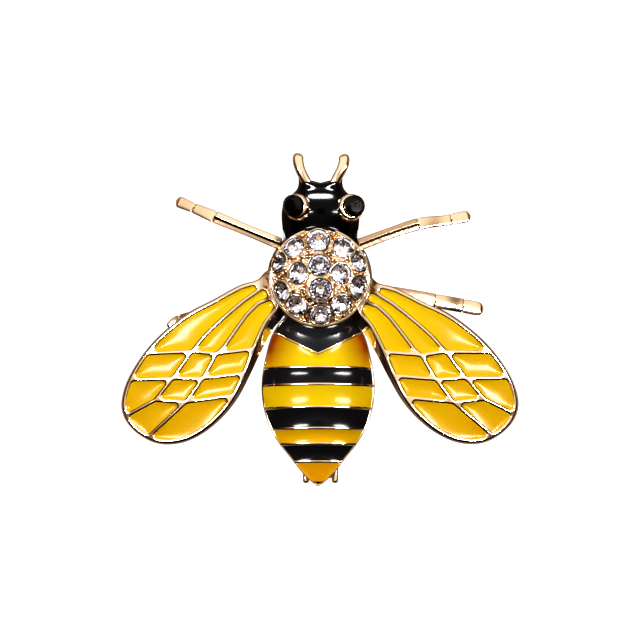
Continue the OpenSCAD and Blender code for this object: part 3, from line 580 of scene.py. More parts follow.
def makeAbdomen():
    # enamel of each band: it sinks to its lowest place by 1 - (1 - v)^2 and rises by a power of the rest,
    # less so towards the sides; metal: ridges with parabolic crests, the crescent, a profile carried round
    a = abdomen
    u = np.sin(np.linspace(-1, 1, a["across"]) * np.pi / 2)
    for i, node in enumerate(a["bands"]):
        above, below = (a["ridge"][min(max(k, 0), 6)] / 2 - a["reach"] for k in (i - 1, i))
        yTop, yLow = ridgePlace(i - 1, u, -above, a["edge"]), ridgePlace(i, u, below, a["edge"])
        low, power = a["lowest"][i], a["rise"][i]
        rows = [abdomenRow(u, yTop, a["edge"], a["skirt"])]
        for v in 0.5 - 0.5 * np.cos(np.linspace(0, np.pi, a["bandRows"])):
            dip = 1 - (1 - v / low) ** 2 if v < low else 1 - ((v - low) / (1 - low)) ** power
            sink = a["edgeSink"] + a["sags"][i] * dip * (1 - np.abs(u) ** a["sidePower"])
            rows.append(abdomenRow(u, yTop + (yLow - yTop) * v, a["edge"], sink))
        rows.append(abdomenRow(u, yLow, a["edge"], a["skirt"]))
        enamel, slot = (bandBlack, "black_enamel") if "black" in node else (bandYellow, "yellow_enamel")
        makePiece(node.replace("band_", "abdomenBand_"), [surface(rows)], [enamel], nodes=[node],
                  smoothAngle=50)
    sheets = []
    for i, wide in enumerate(a["ridge"]):
        rows = []
        for s in np.concatenate([[-1.001], np.sin(np.linspace(-1, 1, 13) * np.pi / 2), [1.001]]):
            fall = a["skirt"] if abs(s) > 1 else a["crestSlope"] * wide / 4 * s * s
            rows.append(abdomenRow(u, ridgePlace(i, u, -s * wide / 2, 0.0), 0, fall))
        sheets.append(surface(rows))
    # past the tail's enamel the metal closes in a small crescent, in the same dull plating whose darker
    # colour is painted shade
    rows = []
    for s in np.linspace(0, 1, 7):
        y = np.full_like(u, a["top"] - (a["crescent"] + (1 - a["crescent"]) * s) * a["length"])
        rows.append(abdomenRow(u, y, 0, a["crescentSink"] + a["crescentFall"] * s * s))
    sheets.append(surface(rows, slot=1))
    # the way of the profile: down the right side, round the tail and up the left side
    y = a["top"] - np.linspace(0, 1, a["edgeSteps"]) * a["length"]
    side = np.column_stack([abdomenHalf(y), y])
    path = np.vstack([side, side[::-1] * (-1, 1)])
    out = leftOf(path)
    out *= np.sign((out * path * (1, 0)).sum())
    path = path + (a["x"], 0)
    rows = []
    for reach, level, rise in a["profile"]:
        p = path + out * reach
        z = abdomenArch(*p.T) if level == "arch" else {"flange": flangeZ, "back": backZ}[level]
        rows.append(np.column_stack([p, np.maximum(z + rise, backZ) * np.ones(len(p))]))
    rows.append(np.column_stack([np.full(len(p), a["x"]), p[:, 1], np.full(len(p), backZ)]))
    sheets.append(surface(rows))
    makePiece("abdomenMetal", sheets, [gold, castGold], smoothAngle=60)


makeAbdomen()
print("abdomen made")


stoneTable = [
    # share of the ring's radius, direction, share of the largest stone, tilt
    (0.734, 92, 1, 14), (0.788, 130.5, 0.92, 32), (0.758, 51, 0.95, 28), (0.872, 160.5, 0.9, 44),
    (0.84, 22, 0.9, 43), (0.437, 169.5, 0.93, 28), (0.24, 90, 0.93, 8), (0.431, 9, 0.92, 20),
    (0.249, -85, 1, 8), (0.798, 200.5, 0.86, 42), (0.79, -13.5, 0.92, 36), (0.72, 231, 0.94, 30),
    (0.69, -52, 0.9, 30), (0.74, -88.5, 0.94, 28)]
beadTable = [
    (0.9, 112), (0.52, 128), (0.93, 146), (0.52, 58), (0.94, 72), (0.93, 36), (0.92, 3), (0.62, 185),
    (0.9, 181), (0.53, 215), (0.42, 212), (0.92, 216), (0.9, 250), (0.54, -31), (0.44, -38), (0.93, -33),
    (0.9, -68), (0.52, 106), (0.52, 33), (0.62, -2)]
edgeRadius = thorax["ringRadius"] - thorax["ring"]
domeEdge = thorax["top"] - thorax["ringHeight"]
domeMiddle = np.array([thorax["x"], thorax["y"],
                       domeEdge - np.sqrt(thorax["domeRadius"] ** 2 - edgeRadius ** 2)])


def onDome(share, direction, tilt):
    # a place on the stone-set dome with its own axes: outwards, sideways and the tilted normal
    a, t = np.radians(direction), np.radians(tilt)
    r = share * thorax["ringRadius"]
    place = domeMiddle + (r * np.cos(a), r * np.sin(a), np.sqrt(thorax["domeRadius"] ** 2 - r * r))
    radial, sideways = np.array([np.cos(a), np.sin(a), 0]), np.array([-np.sin(a), np.cos(a), 0])
    up = np.array([0, 0, 1.0])
    outward, normal = radial * np.cos(t) - up * np.sin(t), radial * np.sin(t) + up * np.cos(t)
    return place, np.stack([outward, sideways, normal])


def offAxis(points, place, axes):
    # distance of points from the third axis through the place, and their height along it
    v = points - place
    high = v @ axes[2]
    return np.linalg.norm(v - high[..., None] * axes[2], axis=-1), high


def lathe(profile, place, axes, steps=64, away=None, slot=0):
    # a profile of radius and height turned about the third axis
    a = np.linspace(0, 2 * np.pi, steps, endpoint=False)
    ring = np.cos(a)[:, None] * axes[0] + np.sin(a)[:, None] * axes[1]
    rows = [place + r * ring + h * axes[2] for r, h in profile]
    return surface(rows, wrapCols=True, away=place if away is None else away, slot=slot)


def ball(r, start, count, place, axes, steps):
    # the part of a ball above the angle start
    turn = np.linspace(start, np.pi / 2, count)
    return lathe(np.column_stack([r * np.cos(turn), r * np.sin(turn)]), place, axes, steps)


# shares of the diameter; kite is the share of the crown's height at which the kites and stars meet
cut = dict(table=0.56, crown=0.17, girdle=0.03, pavilion=0.38, kite=0.52, lower=(0.42, 0.66))


def cutStone(d, place, axes):
    # round cut: an eight-sided table, eight stars, eight kites, sixteen girdle facets, and below eight long
    # facets with sixteen short ones between them; each facet is turned to look away from the middle
    def ring(n, radius, h, turn):
        a = np.radians(turn + np.arange(n) * 360 / n)
        return np.column_stack([radius * np.cos(a), radius * np.sin(a), np.full(n, h)])
    r, (lowIn, lowDeep) = d / 2, cut["lower"]
    top, low = cut["girdle"] * d + cut["crown"] * d, -cut["pavilion"] * d
    points = np.vstack([
        ring(8, cut["table"] * r / np.cos(np.pi / 8), top, 0),
        ring(8, r * (1 + cut["table"]) / 2, cut["girdle"] * d + cut["crown"] * cut["kite"] * d, 22.5),
        ring(16, r, cut["girdle"] * d, 0), ring(16, r, 0, 0),
        ring(8, r * lowIn, low * lowDeep, 22.5), [[0, 0, low]]])
    crown, back = [list(range(8))], []
    for a in range(8):
        b, before, g, g2 = (a + 1) % 8, (a + 7) % 8, 16 + 2 * a, 16 + (2 * a + 2) % 16
        crown += [[a, 8 + a, b], [a, g, 8 + a], [a, 8 + before, g], [8 + a, g, g + 1], [8 + a, g + 1, g2]]
        back += [[48 + a, g + 17, g + 16], [48 + a, g2 + 16, g + 17], [48 + a, g + 16, 48 + before],
                 [56, 48 + a, 48 + before]]
    crown += [[16 + k, 32 + k, 32 + (k + 1) % 16, 16 + (k + 1) % 16] for k in range(16)]
    points = place + points @ axes
    centre = place + (top + low) / 2 * axes[2]

    def outward(f):
        q = points[f]
        return f if np.cross(q[1] - q[0], q[2] - q[0]) @ (q.mean(0) - centre) > 0 else f[::-1]
    return [(points, [outward(f) for f in faces], k) for k, faces in enumerate((crown, back))]


def makeThorax():
    # ring with a half-round top; dome with a cone pit under each stone, whose depth grows evenly to its
    # middle; collar, a dark line of painted shadow in each seat, beads and cast grains; then the stones, each
    # turned more than the last
    t = thorax
    upright = np.eye(3)
    foot = np.array([t["x"], t["y"], 0.0])
    edgeZ, half = t["top"] - t["ringEdge"], t["ringWide"] / 2
    middle = t["ringRadius"] - half
    profile = [(0, backZ), (t["footRadius"] - 0.05, backZ), (t["footRadius"], backZ + 0.05),
               (t["ringRadius"] + 0.01, edgeZ)]
    profile += [(middle + half * np.cos(k), edgeZ + t["ringRise"] * np.sin(k))
                for k in np.linspace(0, np.pi, 13)]
    profile += [(middle - half, domeEdge - 0.1)]
    sheets = [lathe(profile, foot, upright, 160, away=foot + (0, 0, 5))]
    rings, columns = t["domeGrid"]
    radius = np.linspace(0, edgeRadius + 0.1, rings)[:, None]
    turn = np.linspace(0, 2 * np.pi, columns, endpoint=False)
    x, y = radius * np.cos(turn), radius * np.sin(turn)
    dome = np.stack([x, y, np.sqrt(t["domeRadius"] ** 2 - x ** 2 - y ** 2)], -1) + domeMiddle
    stones = [(*onDome(share, direction, tilt), size * t["stone"])
              for share, direction, size, tilt in stoneTable]
    for place, axes, d in stones:
        seat = d / 2 + t["seatGap"]
        off, high = offAxis(dome, place, axes)
        pit = -high - 0.1 - (cut["pavilion"] * d + 0.1) * (1 - off / seat)
        dome = dome + np.where((off < seat) & (np.abs(high) < 1.5), pit, 0)[..., None] * axes[2]
    # the dome between the stones takes the dull plating whose darker colour is painted shade
    sheets.append(surface(dome, wrapCols=True, slot=1))
    for place, axes, d in stones:
        inner, w, h = d / 2 + t["collarGap"], t["collar"], t["collarHeight"]
        under = place - axes[2] * 3
        rim = [(inner, -0.35), (inner, h * 0.2)]
        rim += [(inner + w * (0.5 - 0.5 * np.cos(k)), h * (0.2 + 0.8 * np.sin(k)))
                for k in np.linspace(0.3, 2.2, 7)]
        rim += [(inner + w, -0.1), (inner + w + 0.05, -0.5)]
        sheets.append(lathe(rim, place, axes, 48, away=under))
        # a dark sheet in the seat round each stone: painted shadow
        line = [(inner - 0.18, -0.14), (inner - 0.09, -0.05), (inner + 0.005, -0.03)]
        sheets.append(lathe(line, place, axes, 48, away=under, slot=2))
    for share, direction in beadTable:
        upright = np.degrees(np.arcsin(share * t["ringRadius"] / t["domeRadius"]))
        place, axes = onDome(share, direction, upright)
        sheets.append(ball(t["bead"] / 2, -0.6, 9, place + axes[2] * t["beadLift"], axes, 20))
    # grains: places by the golden angle, kept where they stand clear of every stone; their size and height
    # follow the fractions of multiples of 0.618 and 0.381
    k = np.arange(1, t["grains"])
    r, turn = (edgeRadius - 0.1) * np.sqrt(k / t["grains"]), k * np.radians(137.508)
    spots = np.column_stack([r * np.cos(turn), r * np.sin(turn), np.sqrt(t["domeRadius"] ** 2 - r ** 2)])
    spots = spots + domeMiddle
    for place, axes, d in stones:
        spots = spots[offAxis(spots, place, axes)[0] > d / 2 + t["grainGap"]]
    for n, spot in enumerate(spots):
        up = (spot - domeMiddle) / t["domeRadius"]
        axes = np.stack([np.cross([0, 1, 0], up), np.cross(up, np.cross([0, 1, 0], up)), up])
        r = t["grain"] * (0.75 + 0.5 * ((n * 0.618) % 1))
        sheets.append(ball(r, -0.3, 6, spot + up * r * (0.1 + 0.5 * ((n * 0.381) % 1)), axes, 12))
    makePiece("thoraxMetal", sheets, [gold, castGold, seatShadow], smoothAngle=50)
    for i, (place, axes, d) in enumerate(stones):
        spin = np.radians(t["spin"] * i)
        turned = np.stack([axes[0] * np.cos(spin) + axes[1] * np.sin(spin),
                           axes[1] * np.cos(spin) - axes[0] * np.sin(spin), axes[2]])
        makePiece(f"clearStone_{i + 1}", cutStone(d, place + axes[2] * t["stoneLift"], turned),
                  [crystal, foil], nodes=[f"stone_{i + 1}"], smoothAngle=0)


makeThorax()
print("thorax made")


head = dict(
    length=7.6, width=8.95, height=2.9, axis=2.6, top=16.25, notch=(0.06, 0.2), eye=2.55, eyeZ=7.0,
    # lobe over the root of each antenna: place, widths across and along, height
    lobe=(1.75, 15.72, 0.8, 0.6, 0.55), fillet=(0.3, 0.3), cupLean=0.3, cupIn=0.2,
    # powers of the falls at the sides and the front, and the flange's half width
    sideRound=14, frontRound=26, flange=4.4, grid=(81, 61),
    # share of the length from the front, share of half the width, share of the height
    shape=[(0, 0.57, 0.38), (0.07, 0.565, 0.42), (0.16, 0.61, 0.58), (0.25, 0.755, 0.79), (0.37, 0.94, 0.95),
           (0.5, 1, 1), (0.64, 1, 0.95), (0.76, 0.98, 0.86), (0.88, 0.96, 0.76), (1, 0.94, 0.68)],
    eyes={"eye_left": (-3.25, 13.09, -32), "eye_right": (3.92, 13.06, 23)},
    # rounded rim under the girdle, then a wall that widens on its way down into the enamel: distance from
    # the stone's edge, height
    cup=[(-0.2, -2.5), (0.4, -1.5), (0.33, -0.7), (0.27, -0.45), (0.21, -0.33), (0.13, -0.25), (0.04, -0.2),
         (-0.04, -0.18), (-0.1, -0.2), (-1.175, -1.05)])
headCurve = blendCurve(head["shape"], 8)


def headPoint(u, v):
    # u from -1 to 1 across, v from 0 at the front edge to 1 under the thorax; the height is an arch about a
    # line, which falls in a tight quarter round at the sides and the front, with a bell-shaped lobe of
    # enamel over the root of each antenna
    h = head
    notch = h["notch"][1] * h["width"]
    deep = h["notch"][0] * h["length"]
    notchR = (notch ** 2 / deep + deep) / 2
    y = np.full_like(u, h["top"] - 3)
    for _ in range(12):
        share = (h["top"] - y) / h["length"]
        x = u * np.interp(share, headCurve[:, 0], headCurve[:, 1]) * h["width"] / 2
        front = np.where(np.abs(x) < notch,
                         h["top"] - deep + notchR - np.sqrt(np.maximum(notchR ** 2 - x ** 2, 0)), h["top"])
        front = np.minimum(front, h["top"])
        back = thorax["y"] + underRing(x)
        y = front + (back - front) * v
    share = (h["top"] - y) / h["length"]
    r = h["axis"] + np.interp(share, headCurve[:, 0], headCurve[:, 2]) * h["height"]
    arch = np.sqrt(np.maximum(r ** 2 - x ** 2, 0)) - h["axis"]
    lx, ly, wide, long, high = h["lobe"]
    arch = arch + high * np.exp(-((np.abs(x) - lx) / wide) ** 2 - ((y - ly) / long) ** 2)
    rise, far = h["fillet"]
    arch = arch + rise * np.exp(-(y - back) / far)
    fall = np.sqrt(1 - np.abs(u) ** h["sideRound"]) * np.sqrt(1 - (1 - v) ** h["frontRound"])
    return np.stack([x, y, flangeZ + 0.02 + np.maximum(arch, 0.1) * fall], -1)


def makeHead():
    # enamel over the whole head; metal: a flange under it, closed on the middle line, and a cup for each
    # eye, which stands a little further in than its stone and leans to the thorax on its way down
    h = head
    columns, rows = h["grid"]
    u, v = np.meshgrid(np.sin(np.linspace(-1, 1, columns) * np.pi / 2),
                       1 - np.cos(np.linspace(0, 1, rows) * np.pi / 2))
    top = headPoint(u, v)
    makePiece("headEnamel", [surface(top)], [black], nodes=["head_enamel"],
              smoothAngle=70)
    edge = np.vstack([top[::-1, 0], top[0, 1:], top[1:, -1]])
    rows = [edge * (1 - inset / h["flange"], 1, 0) + (0, 0, level)
            for inset, level in [(0.0, flangeZ + 0.04), (0.0, backZ + 0.05), (0.05, backZ)]]
    # the middle line ends where the notch is deepest
    deepest = h["top"] - h["notch"][0] * h["length"]
    rows.append(np.column_stack([0 * edge[:, 0], np.minimum(edge[:, 1], deepest), np.full(len(edge), backZ)]))
    sheets = [surface(rows, away=(0, 12, 3.8))]
    around = np.linspace(0, 2 * np.pi, 72, endpoint=False)[:, None]
    for node, (ex, ey, tilt) in h["eyes"].items():
        t = np.radians(tilt)
        axes = np.array([[np.cos(t), 0, -np.sin(t)], [0, 1, 0], [np.sin(t), 0, np.cos(t)]])
        place = np.array([ex - np.sign(ex) * h["cupIn"], ey, h["eyeZ"]])
        ring = np.cos(around) * axes[0] + np.sin(around) * axes[1]
        down = axes[2] + (0, h["cupLean"], 0)
        sheets.append(surface([place + (h["eye"] / 2 + k) * ring + d * down for k, d in h["cup"]],
                              wrapCols=True, away=place - axes[2]))
        for s in frame["nodes"][node].material_slots:
            s.link = "OBJECT"
            s.material = jet
    makePiece("headMetal", sheets, [gold], smoothAngle=50)


makeHead()
print("head made")


limbs = dict(
    legWidth=1.4, legHeight=1.2, antennaWidth=1.25, antennaHeight=1.1, round=0.16, tipRound=0.45,
    antennaRound=0.55, core=0.8,
    # leg: shares of half the width and half the height; from up the bee a nearly flat side to the crest,
    # then on the first segment of the front legs a steep side and a ledge; elsewhere the flat side takes
    # the whole width
    steppedSection=[
        (-0.72, -1), (0.72, -1), (0.95, -0.6), (1, -0.3), (1, 0.5), (0.97, 0.68), (0.88, 0.8), (0.82, 0.82),
        (0.26, 0.98), (0.2, 1), (0.14, 0.98), (0.08, 0.94), (-0.24, 0.66), (-0.3, 0.62), (-0.36, 0.6),
        (-0.8, 0.5), (-0.86, 0.48), (-0.95, 0.34), (-1, 0.2), (-1, -0.3), (-0.95, -0.6)],
    flatSection=[
        (-0.72, -1), (0.72, -1), (0.95, -0.6), (1, -0.3), (1, 0.45), (0.97, 0.6), (0.88, 0.7), (0.4, 0.82),
        (0, 0.9), (-0.4, 0.96), (-0.8, 1), (-0.93, 0.93), (-1, 0.7), (-1, -0.3), (-0.95, -0.6)],
    # antenna: a round outer side up to the crest, and an inner side that falls away from it
    antennaSection=[
        (-0.72, -1), (0.72, -1), (0.96, -0.5), (1, 0.1), (0.94, 0.46), (0.78, 0.68), (0.5, 0.83), (0.25, 0.9),
        (0.1, 0.92), (-0.04, 0.9), (-0.22, 0.86), (-0.46, 0.76), (-0.7, 0.58), (-0.9, 0.3), (-1, -0.1),
        (-0.96, -0.5)],
    # where the segments of each leg meet, as distances along X from the middle, 1 for a first segment in
    # the rougher gold that is darker as painted shade next to the body, and from the body outwards x, y,
    # height of the middle line, width share, height share
    legs={
        "frontLegLeft": ((12.28, 14.7), 0, [
            (-4.6, 8.7, 4.6, 1, 1), (-8.6, 10.35, 3.9, 0.92, 0.9), (-12.2, 11.85, 2.9, 1, 0.95),
            (-14.8, 12.95, 1.6, 0.84, 0.85), (-16.3, 13.6, 0.62, 0.95, 1), (-16.75, 13.8, 0.5, 0.6, 0.8)]),
        "frontLegRight": ((11.36, 15.2), 1, [
            (4.4, 8.6, 4.6, 1, 1), (8, 9.95, 3.9, 0.92, 0.9), (11.4, 11.05, 2.9, 1, 0.95),
            (14.3, 11.45, 1.6, 0.86, 0.85), (16.7, 11.9, 0.62, 0.95, 1), (17.4, 12.05, 0.5, 0.6, 0.8)]),
        "hindLegLeft": ((13.4, 16.2), 1, [
            (-4.6, 3.6, 4.2, 1, 1), (-9.3, 2.2, 3.5, 1, 1), (-13.6, 0.65, 2.3, 1, 1),
            (-16.6, -0.3, 0.7, 1, 1), (-17.6, -1.1, 0.5, 0.7, 0.8)]),
        "hindLegRight": ((13.3, 16.6), 1, [
            (4.6, 3.6, 4.2, 1, 1), (9.7, 2.85, 3.5, 1.05, 1), (14, 2.02, 2.3, 1.15, 1),
            (16.4, 1.6, 1.2, 1.15, 1), (18.2, 1.25, 0.62, 1.1, 1), (18.9, 1.15, 0.5, 0.7, 0.8)])},
    antennae={
        "antennaLeft": [
            (-1.5, 15.3, 5.0, 0.8, 0.5), (-1.66, 15.9, 5.0, 0.9, 0.8), (-2, 16.55, 5.02, 0.92, 0.9),
            (-2.38, 17.4, 5.0, 0.94, 0.9), (-2.58, 18.2, 4.88, 1, 0.87), (-2.58, 18.85, 4.68, 1, 0.84),
            (-2.54, 19.2, 4.55, 1, 0.8)],
        "antennaRight": [
            (1.5, 15.3, 5.0, 0.8, 0.5), (1.7, 15.9, 5.0, 0.9, 0.8), (2.02, 16.55, 5.02, 0.92, 0.9),
            (2.38, 17.2, 5.0, 0.94, 0.9), (2.68, 18, 4.9, 1, 0.87), (2.72, 18.7, 4.72, 1, 0.84),
            (2.68, 19.1, 4.58, 1, 0.8)]})


def sweepLimb(name, path, section, size, closeEnds, radius, slot=0):
    # the section carried along a path, level across it and never under the table, with its first side up
    # the bee; each end draws in by a quarter circle, 1 - sqrt(1 - t^2), over its own radius and by its own
    # share; the sign of the volume that the faces enclose tells whether they look outwards
    across = leftOf(path[:, :2]) * (1 if "Right" in name else -1)
    along = runLength(path[:, :3])
    draw = 1
    for share, r, far in zip(closeEnds, radius, (along, along[-1] - along)):
        t = np.clip(1 - far / r, 0, 1)
        draw = draw * (1 - share * (1 - np.sqrt(1 - t ** 2)))
    w = section[None, :, 0] * (size[0] / 2 * path[:, 3] * draw)[:, None]
    h = section[None, :, 1] * (size[1] / 2 * path[:, 4] * draw)[:, None]
    grid = np.stack([path[:, :1] + across[:, :1] * w, path[:, 1:2] + across[:, 1:2] * w,
                     np.maximum(path[:, 2:3] + h, 0)], -1)
    ends = [np.repeat(g.mean(0)[None], len(section), 0)[None] for g in (grid[0], grid[-1])]
    points, faces, _ = surface(np.concatenate([ends[0], grid, ends[1]]), wrapCols=True)
    q = points[np.array(faces)]
    volume = (np.cross(q[:, 1] - q[:, 0], q[:, 2] - q[:, 0]) * (q.mean(1) - points.mean(0))).sum()
    return points, faces if volume > 0 else [f[::-1] for f in faces], slot


def makeLimbs():
    # legs of three segments, which a thinner core keeps together, and antennae of one
    stepped, flat = np.array(limbs["steppedSection"]), np.array(limbs["flatSection"])
    size, r = (limbs["legWidth"], limbs["legHeight"]), limbs["round"]
    inner, tip = ((0.5, 0.5), (r, r)), ((0.5, 0.9), (r, limbs["tipRound"]))
    for name, (joints, dull, rows) in limbs["legs"].items():
        path = evenPath(rows)
        cuts = [0] + [int(np.argmin(np.abs(np.abs(path[:, 0]) - x))) for x in joints] + [len(path) - 1]
        sections = (flat if "hind" in name else stepped, flat, flat)
        segments = zip(cuts, cuts[1:], sections, (inner, inner, tip), (dull, 0, 0))
        parts = [sweepLimb(name, path[a:b + 1], section, size, *end, slot=slot)
                 for a, b, section, end, slot in segments]
        core = path[2:-4] * (1, 1, 1, limbs["core"], limbs["core"])
        parts.append(sweepLimb(name, core, stepped, size, *tip))
        makePiece(name, parts, [gold, legGold], smoothAngle=35, weld=0)
    section = blendCurve(limbs["antennaSection"], 3, closed=True)
    size = limbs["antennaWidth"], limbs["antennaHeight"]
    for name, rows in limbs["antennae"].items():
        part = sweepLimb(name, evenPath(rows, 0.04), section, size, (0.95, 0.95), 2 * [limbs["antennaRound"]])
        makePiece(name, [part], [gold], smoothAngle=60)


makeLimbs()
print("legs and antennae made")


pinBack = dict(
    tail=-18.95, headEnd=12.0, width=3.0, thick=0.8, top=3.35, stem=0.9, stemZ=1.2, stemFree=0.5, earSpan=4.1,
    earThick=0.75, earFoot=0.5, pivot=0.63, catch=2.0, catchEnd=1.0, catchLap=0.3, round=0.3, corner=0.12)


def roundedBlock(low, high, radius, steps=9, levels=7):
    # a block whose upright corners and upper and lower edges are quarter circles of the radius
    low, high = np.array(low, float), np.array(high, float)
    a = np.concatenate([np.linspace(k, k + 90, steps) for k in (0, 90, 180, 270)])
    corner = np.array([(high[0], high[1]), (low[0], high[1]), (low[0], low[1]), (high[0], low[1])])
    corner = np.repeat(corner, steps, 0)
    rim = np.column_stack([np.cos(np.radians(a)), np.sin(np.radians(a))])
    inward = np.sign((low[:2] + high[:2]) / 2 - corner)
    rows = []
    for k in np.radians(np.linspace(0, 90, levels)):
        rows.append((radius * np.sin(k), low[2] + radius * (1 - np.cos(k))))
    rows += [(r, low[2] + high[2] - z) for r, z in rows[::-1]]
    grid = [np.column_stack([corner + inward * radius + rim * r, np.full(len(a), z)]) for r, z in rows]
    middle = (low[:2] + high[:2]) / 2
    ends = [np.tile([*middle, z], (len(a), 1)) for z in (low[2], high[2])]
    return surface([ends[0]] + grid + [ends[1]], wrapCols=True, away=(low + high) / 2)


def makePinBack():
    # bar, two round ears with their feet and the pivot between them, stem, and catch
    p = pinBack
    earR, barLow, half = p["stemZ"], p["top"] - p["thick"], p["width"] / 2
    pivotY = p["tail"] + earR
    sheets = [roundedBlock((-half, pivotY + earR, barLow), (half, p["headEnd"], p["top"]), p["corner"])]
    axes = np.array([[0, 1, 0], [0, 0, 1], [1, 0, 0]], float)
    r, w = p["round"], p["earThick"] / 2
    turn = np.linspace(0, np.pi / 2, 7)
    disc = [(0, -w)] + [(earR - r + r * np.sin(k), -w + r - r * np.cos(k)) for k in turn]
    disc += [(earR - r + r * np.cos(k), w - r + r * np.sin(k)) for k in turn] + [(0, w)]
    reach = (p["earSpan"] - p["earThick"]) / 2
    for x in (-reach, reach):
        sheets.append(lathe(disc, np.array([x, pivotY, earR]), axes))
        foot = (x - w, p["tail"] + 0.02, earR), (x + w, pivotY + earR + p["earFoot"], p["top"])
        sheets.append(roundedBlock(*foot, w - 0.01))
    pivot = [(0, -reach), (p["pivot"], -reach), (p["pivot"], reach), (0, reach)]
    sheets.append(lathe(pivot, np.array([0, pivotY, earR]), axes, 40))
    catchY = p["headEnd"] - p["catchEnd"] - p["catch"]
    stemAxes = np.array([[1, 0, 0], [0, 0, -1], [0, 1, 0]], float)
    length = catchY - pivotY + p["stemFree"]
    stem = [(0, 0), (p["stem"] / 2, 0), (p["stem"] / 2, length), (0, length)]
    sheets.append(lathe(stem, np.array([0, pivotY, earR]), stemAxes, 32, away=(0, -3.0, earR)))
    catch = (-half, catchY, 0), (half, catchY + p["catch"], barLow + p["catchLap"])
    sheets.append(roundedBlock(*catch, p["corner"]))
    makePiece("pinFitting", sheets, [gold], nodes=["pin_back"], smoothAngle=50, weld=0)


makePinBack()
print("pin fitting made")


# lengths of the set are metres
light = dict(
    distance=0.3,
    # each lamp: power, width and depth, degrees from upright, and the way that it leans
    lamps={"softboxLeft": (66.0, (0.03, 0.15), 32, (-1, 0)), "softboxRight": (66.0, (0.03, 0.15), 43, (1, 0)),
           "headLamp": (110.0, (0.24, 0.095), 67, (0, 1))},
    # direction in which the surround is brightest: degrees from upright, and from the X axis
    lean=30, turn=92,
    # cosine of the angle from that direction, colour, strength
    surround=[(0.0, "#1A120E", 0.15), (0.3, "#4A3628", 0.35), (0.55, "#BCA594", 0.75), (0.68, "#F2E6DC", 1.0),
              (0.85, "#FFFFFF", 1.0), (1.0, "#FFFFFF", 1.0)],
    # strength in mirrors, on matt surfaces and in the stones
    level=0.88, diffuse=1.7, stoneLevel=1.1,
    # the dark camera straight above: cosines where its edge begins and ends, strength there; cut stones
    # throw back light from round the lens, so its shade is wider in them
    camera=(0.965, 0.99, 0.08), stone=(0.895, 0.94, 0.0))
# white paper, which the photographer overexposed: it shows nearly white, with a trace of the shadow, while
# the brooch sees it as it is
paperLook = dict(name="whitePaper", colour="#A89C94", inputs={"Roughness": 0.9, "Specular IOR Level": 0.1},
                 glow=1.06, share=0.8, half=1.5)


def makeTable():
    # a square of paper whose own light is mixed in for the camera alone
    r = paperLook["half"]
    mesh = bpy.data.meshes.new("tableTop")
    mesh.from_pydata([(-r, -r, 0), (r, -r, 0), (r, r, 0), (-r, r, 0)], [], [(0, 1, 2, 3)])
    m, tree, shader = newMaterial(paperLook)
    glow = addNode(tree, "Emission", values={"Color": (1, 1, 1, 1), "Strength": paperLook["glow"]})
    path = addNode(tree, "LightPath")
    share = addNode(tree, "Math", {"operation": "MULTIPLY"}, {0: (path, "Is Camera Ray")},
                    {1: paperLook["share"]})
    both = addNode(tree, "MixShader", links={0: (share, "Value"), 1: (shader, 0), 2: (glow, 0)})
    tree.links.new(both.outputs[0], tree.nodes["Material Output"].inputs["Surface"])
    mesh.materials.append(m)
    addObject("tableTop", mesh)


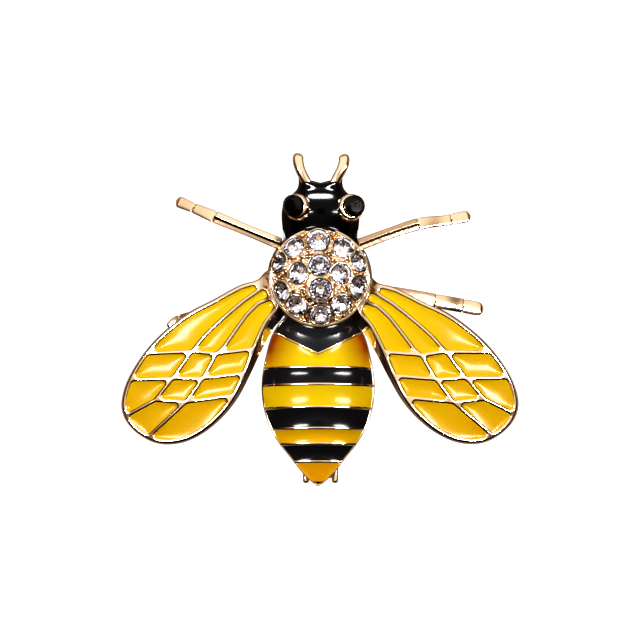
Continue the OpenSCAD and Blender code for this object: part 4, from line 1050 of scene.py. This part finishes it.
def makeSurround():
    # strength by direction: the cosine of the angle to the brightest direction, through a table of colours,
    # times the level for the kind of ray, times the shade of the camera
    world = bpy.data.worlds.new("studio")
    world.use_nodes = True
    bpy.context.scene.world = world
    tree = world.node_tree
    back = tree.nodes["Background"]
    a, b = np.radians(light["lean"]), np.radians(light["turn"])
    where = addNode(tree, "TexCoord")
    cosine = addNode(tree, "VectorMath", {"operation": "DOT_PRODUCT"}, {0: (where, "Generated")},
                     {1: (np.sin(a) * np.cos(b), np.sin(a) * np.sin(b), np.cos(a))})
    ramp = addNode(tree, "ValToRGB", links={"Fac": (cosine, "Value")})
    while len(ramp.color_ramp.elements) < len(light["surround"]):
        ramp.color_ramp.elements.new(0.5)
    for element, (place, colour, strength) in zip(ramp.color_ramp.elements, light["surround"]):
        element.position = place
        element.color = (*[c * strength for c in hexLinear(colour)[:3]], 1)
    tree.links.new(ramp.outputs["Color"], back.inputs["Color"])
    path = addNode(tree, "LightPath")
    level = addNode(tree, "Mix", links={0: (path, "Is Diffuse Ray")},
                    values={2: light["level"], 3: light["diffuse"]})
    inStone = addNode(tree, "Mix", links={0: (path, "Is Transmission Ray"), 2: (level, 0)},
                      values={3: light["stoneLevel"]})
    upward = addNode(tree, "SeparateXYZ", links={"Vector": (where, "Generated")})
    shades = []
    for edge, full, shade in (light["camera"], light["stone"]):
        shades.append(addNode(tree, "MapRange", links={"Value": (upward, "Z")},
                              values={"From Min": edge, "From Max": full, "To Min": 1.0, "To Max": shade}))
    camera = addNode(tree, "Mix", links={0: (path, "Is Transmission Ray"), 2: (shades[0], "Result"),
                                         3: (shades[1], "Result")})
    total = addNode(tree, "Math", {"operation": "MULTIPLY"}, {0: (inStone, 0), 1: (camera, 0)})
    tree.links.new(total.outputs["Value"], back.inputs["Strength"])


def makeLamps():
    # oval lamps that look at the brooch and are there for their reflections alone; watts of a flat lamp of
    # that radiance: pi times its area times four, as the renderer counts it
    for name, (power, size, angle, (x, y)) in light["lamps"].items():
        data = bpy.data.lights.new(name, "AREA")
        data.shape = "ELLIPSE"
        data.size, data.size_y = size
        data.energy = power * size[0] * size[1] * np.pi
        lamp = addObject(name, data)
        a = np.radians(angle)
        lamp.location = light["distance"] * np.array([x * np.sin(a), y * np.sin(a), np.cos(a)])
        lamp.rotation_euler = (-Vector(lamp.location)).to_track_quat("-Z", "Y").to_euler()
        lamp.visible_camera = False
        lamp.visible_diffuse = False
    # black cards keep the last one off all but the black enamel
    shiny = bpy.data.collections.new("seenByHeadLamp")
    for thing in bpy.context.scene.objects:
        if thing.type == "MESH" and thing.data.materials and thing.data.materials[0] in (black, bandBlack):
            shiny.objects.link(thing)
    lamp.light_linking.receiver_collection = shiny


view = dict(lens=400, sensor=36, pixels=640, pixel=0.0001153, aim=-0.00006, face=0.005)


def makeCamera():
    # straight down on the face with a long lens: as far off as makes the picture's width fill the sensor
    data = bpy.data.cameras.new("camera")
    data.lens, data.sensor_width = view["lens"], view["sensor"]
    data.clip_start, data.clip_end = 0.05, 5
    far = view["pixels"] * view["pixel"] * view["lens"] / view["sensor"]
    cam = addObject("camera", data)
    cam.location = (view["aim"], view["aim"], view["face"] + far)
    bpy.context.scene.camera = cam


makeTable()
makeSurround()
makeLamps()
makeCamera()
bpy.context.scene.view_settings.view_transform = "Standard"
bpy.context.scene.view_settings.look = "High Contrast"
print("set made")
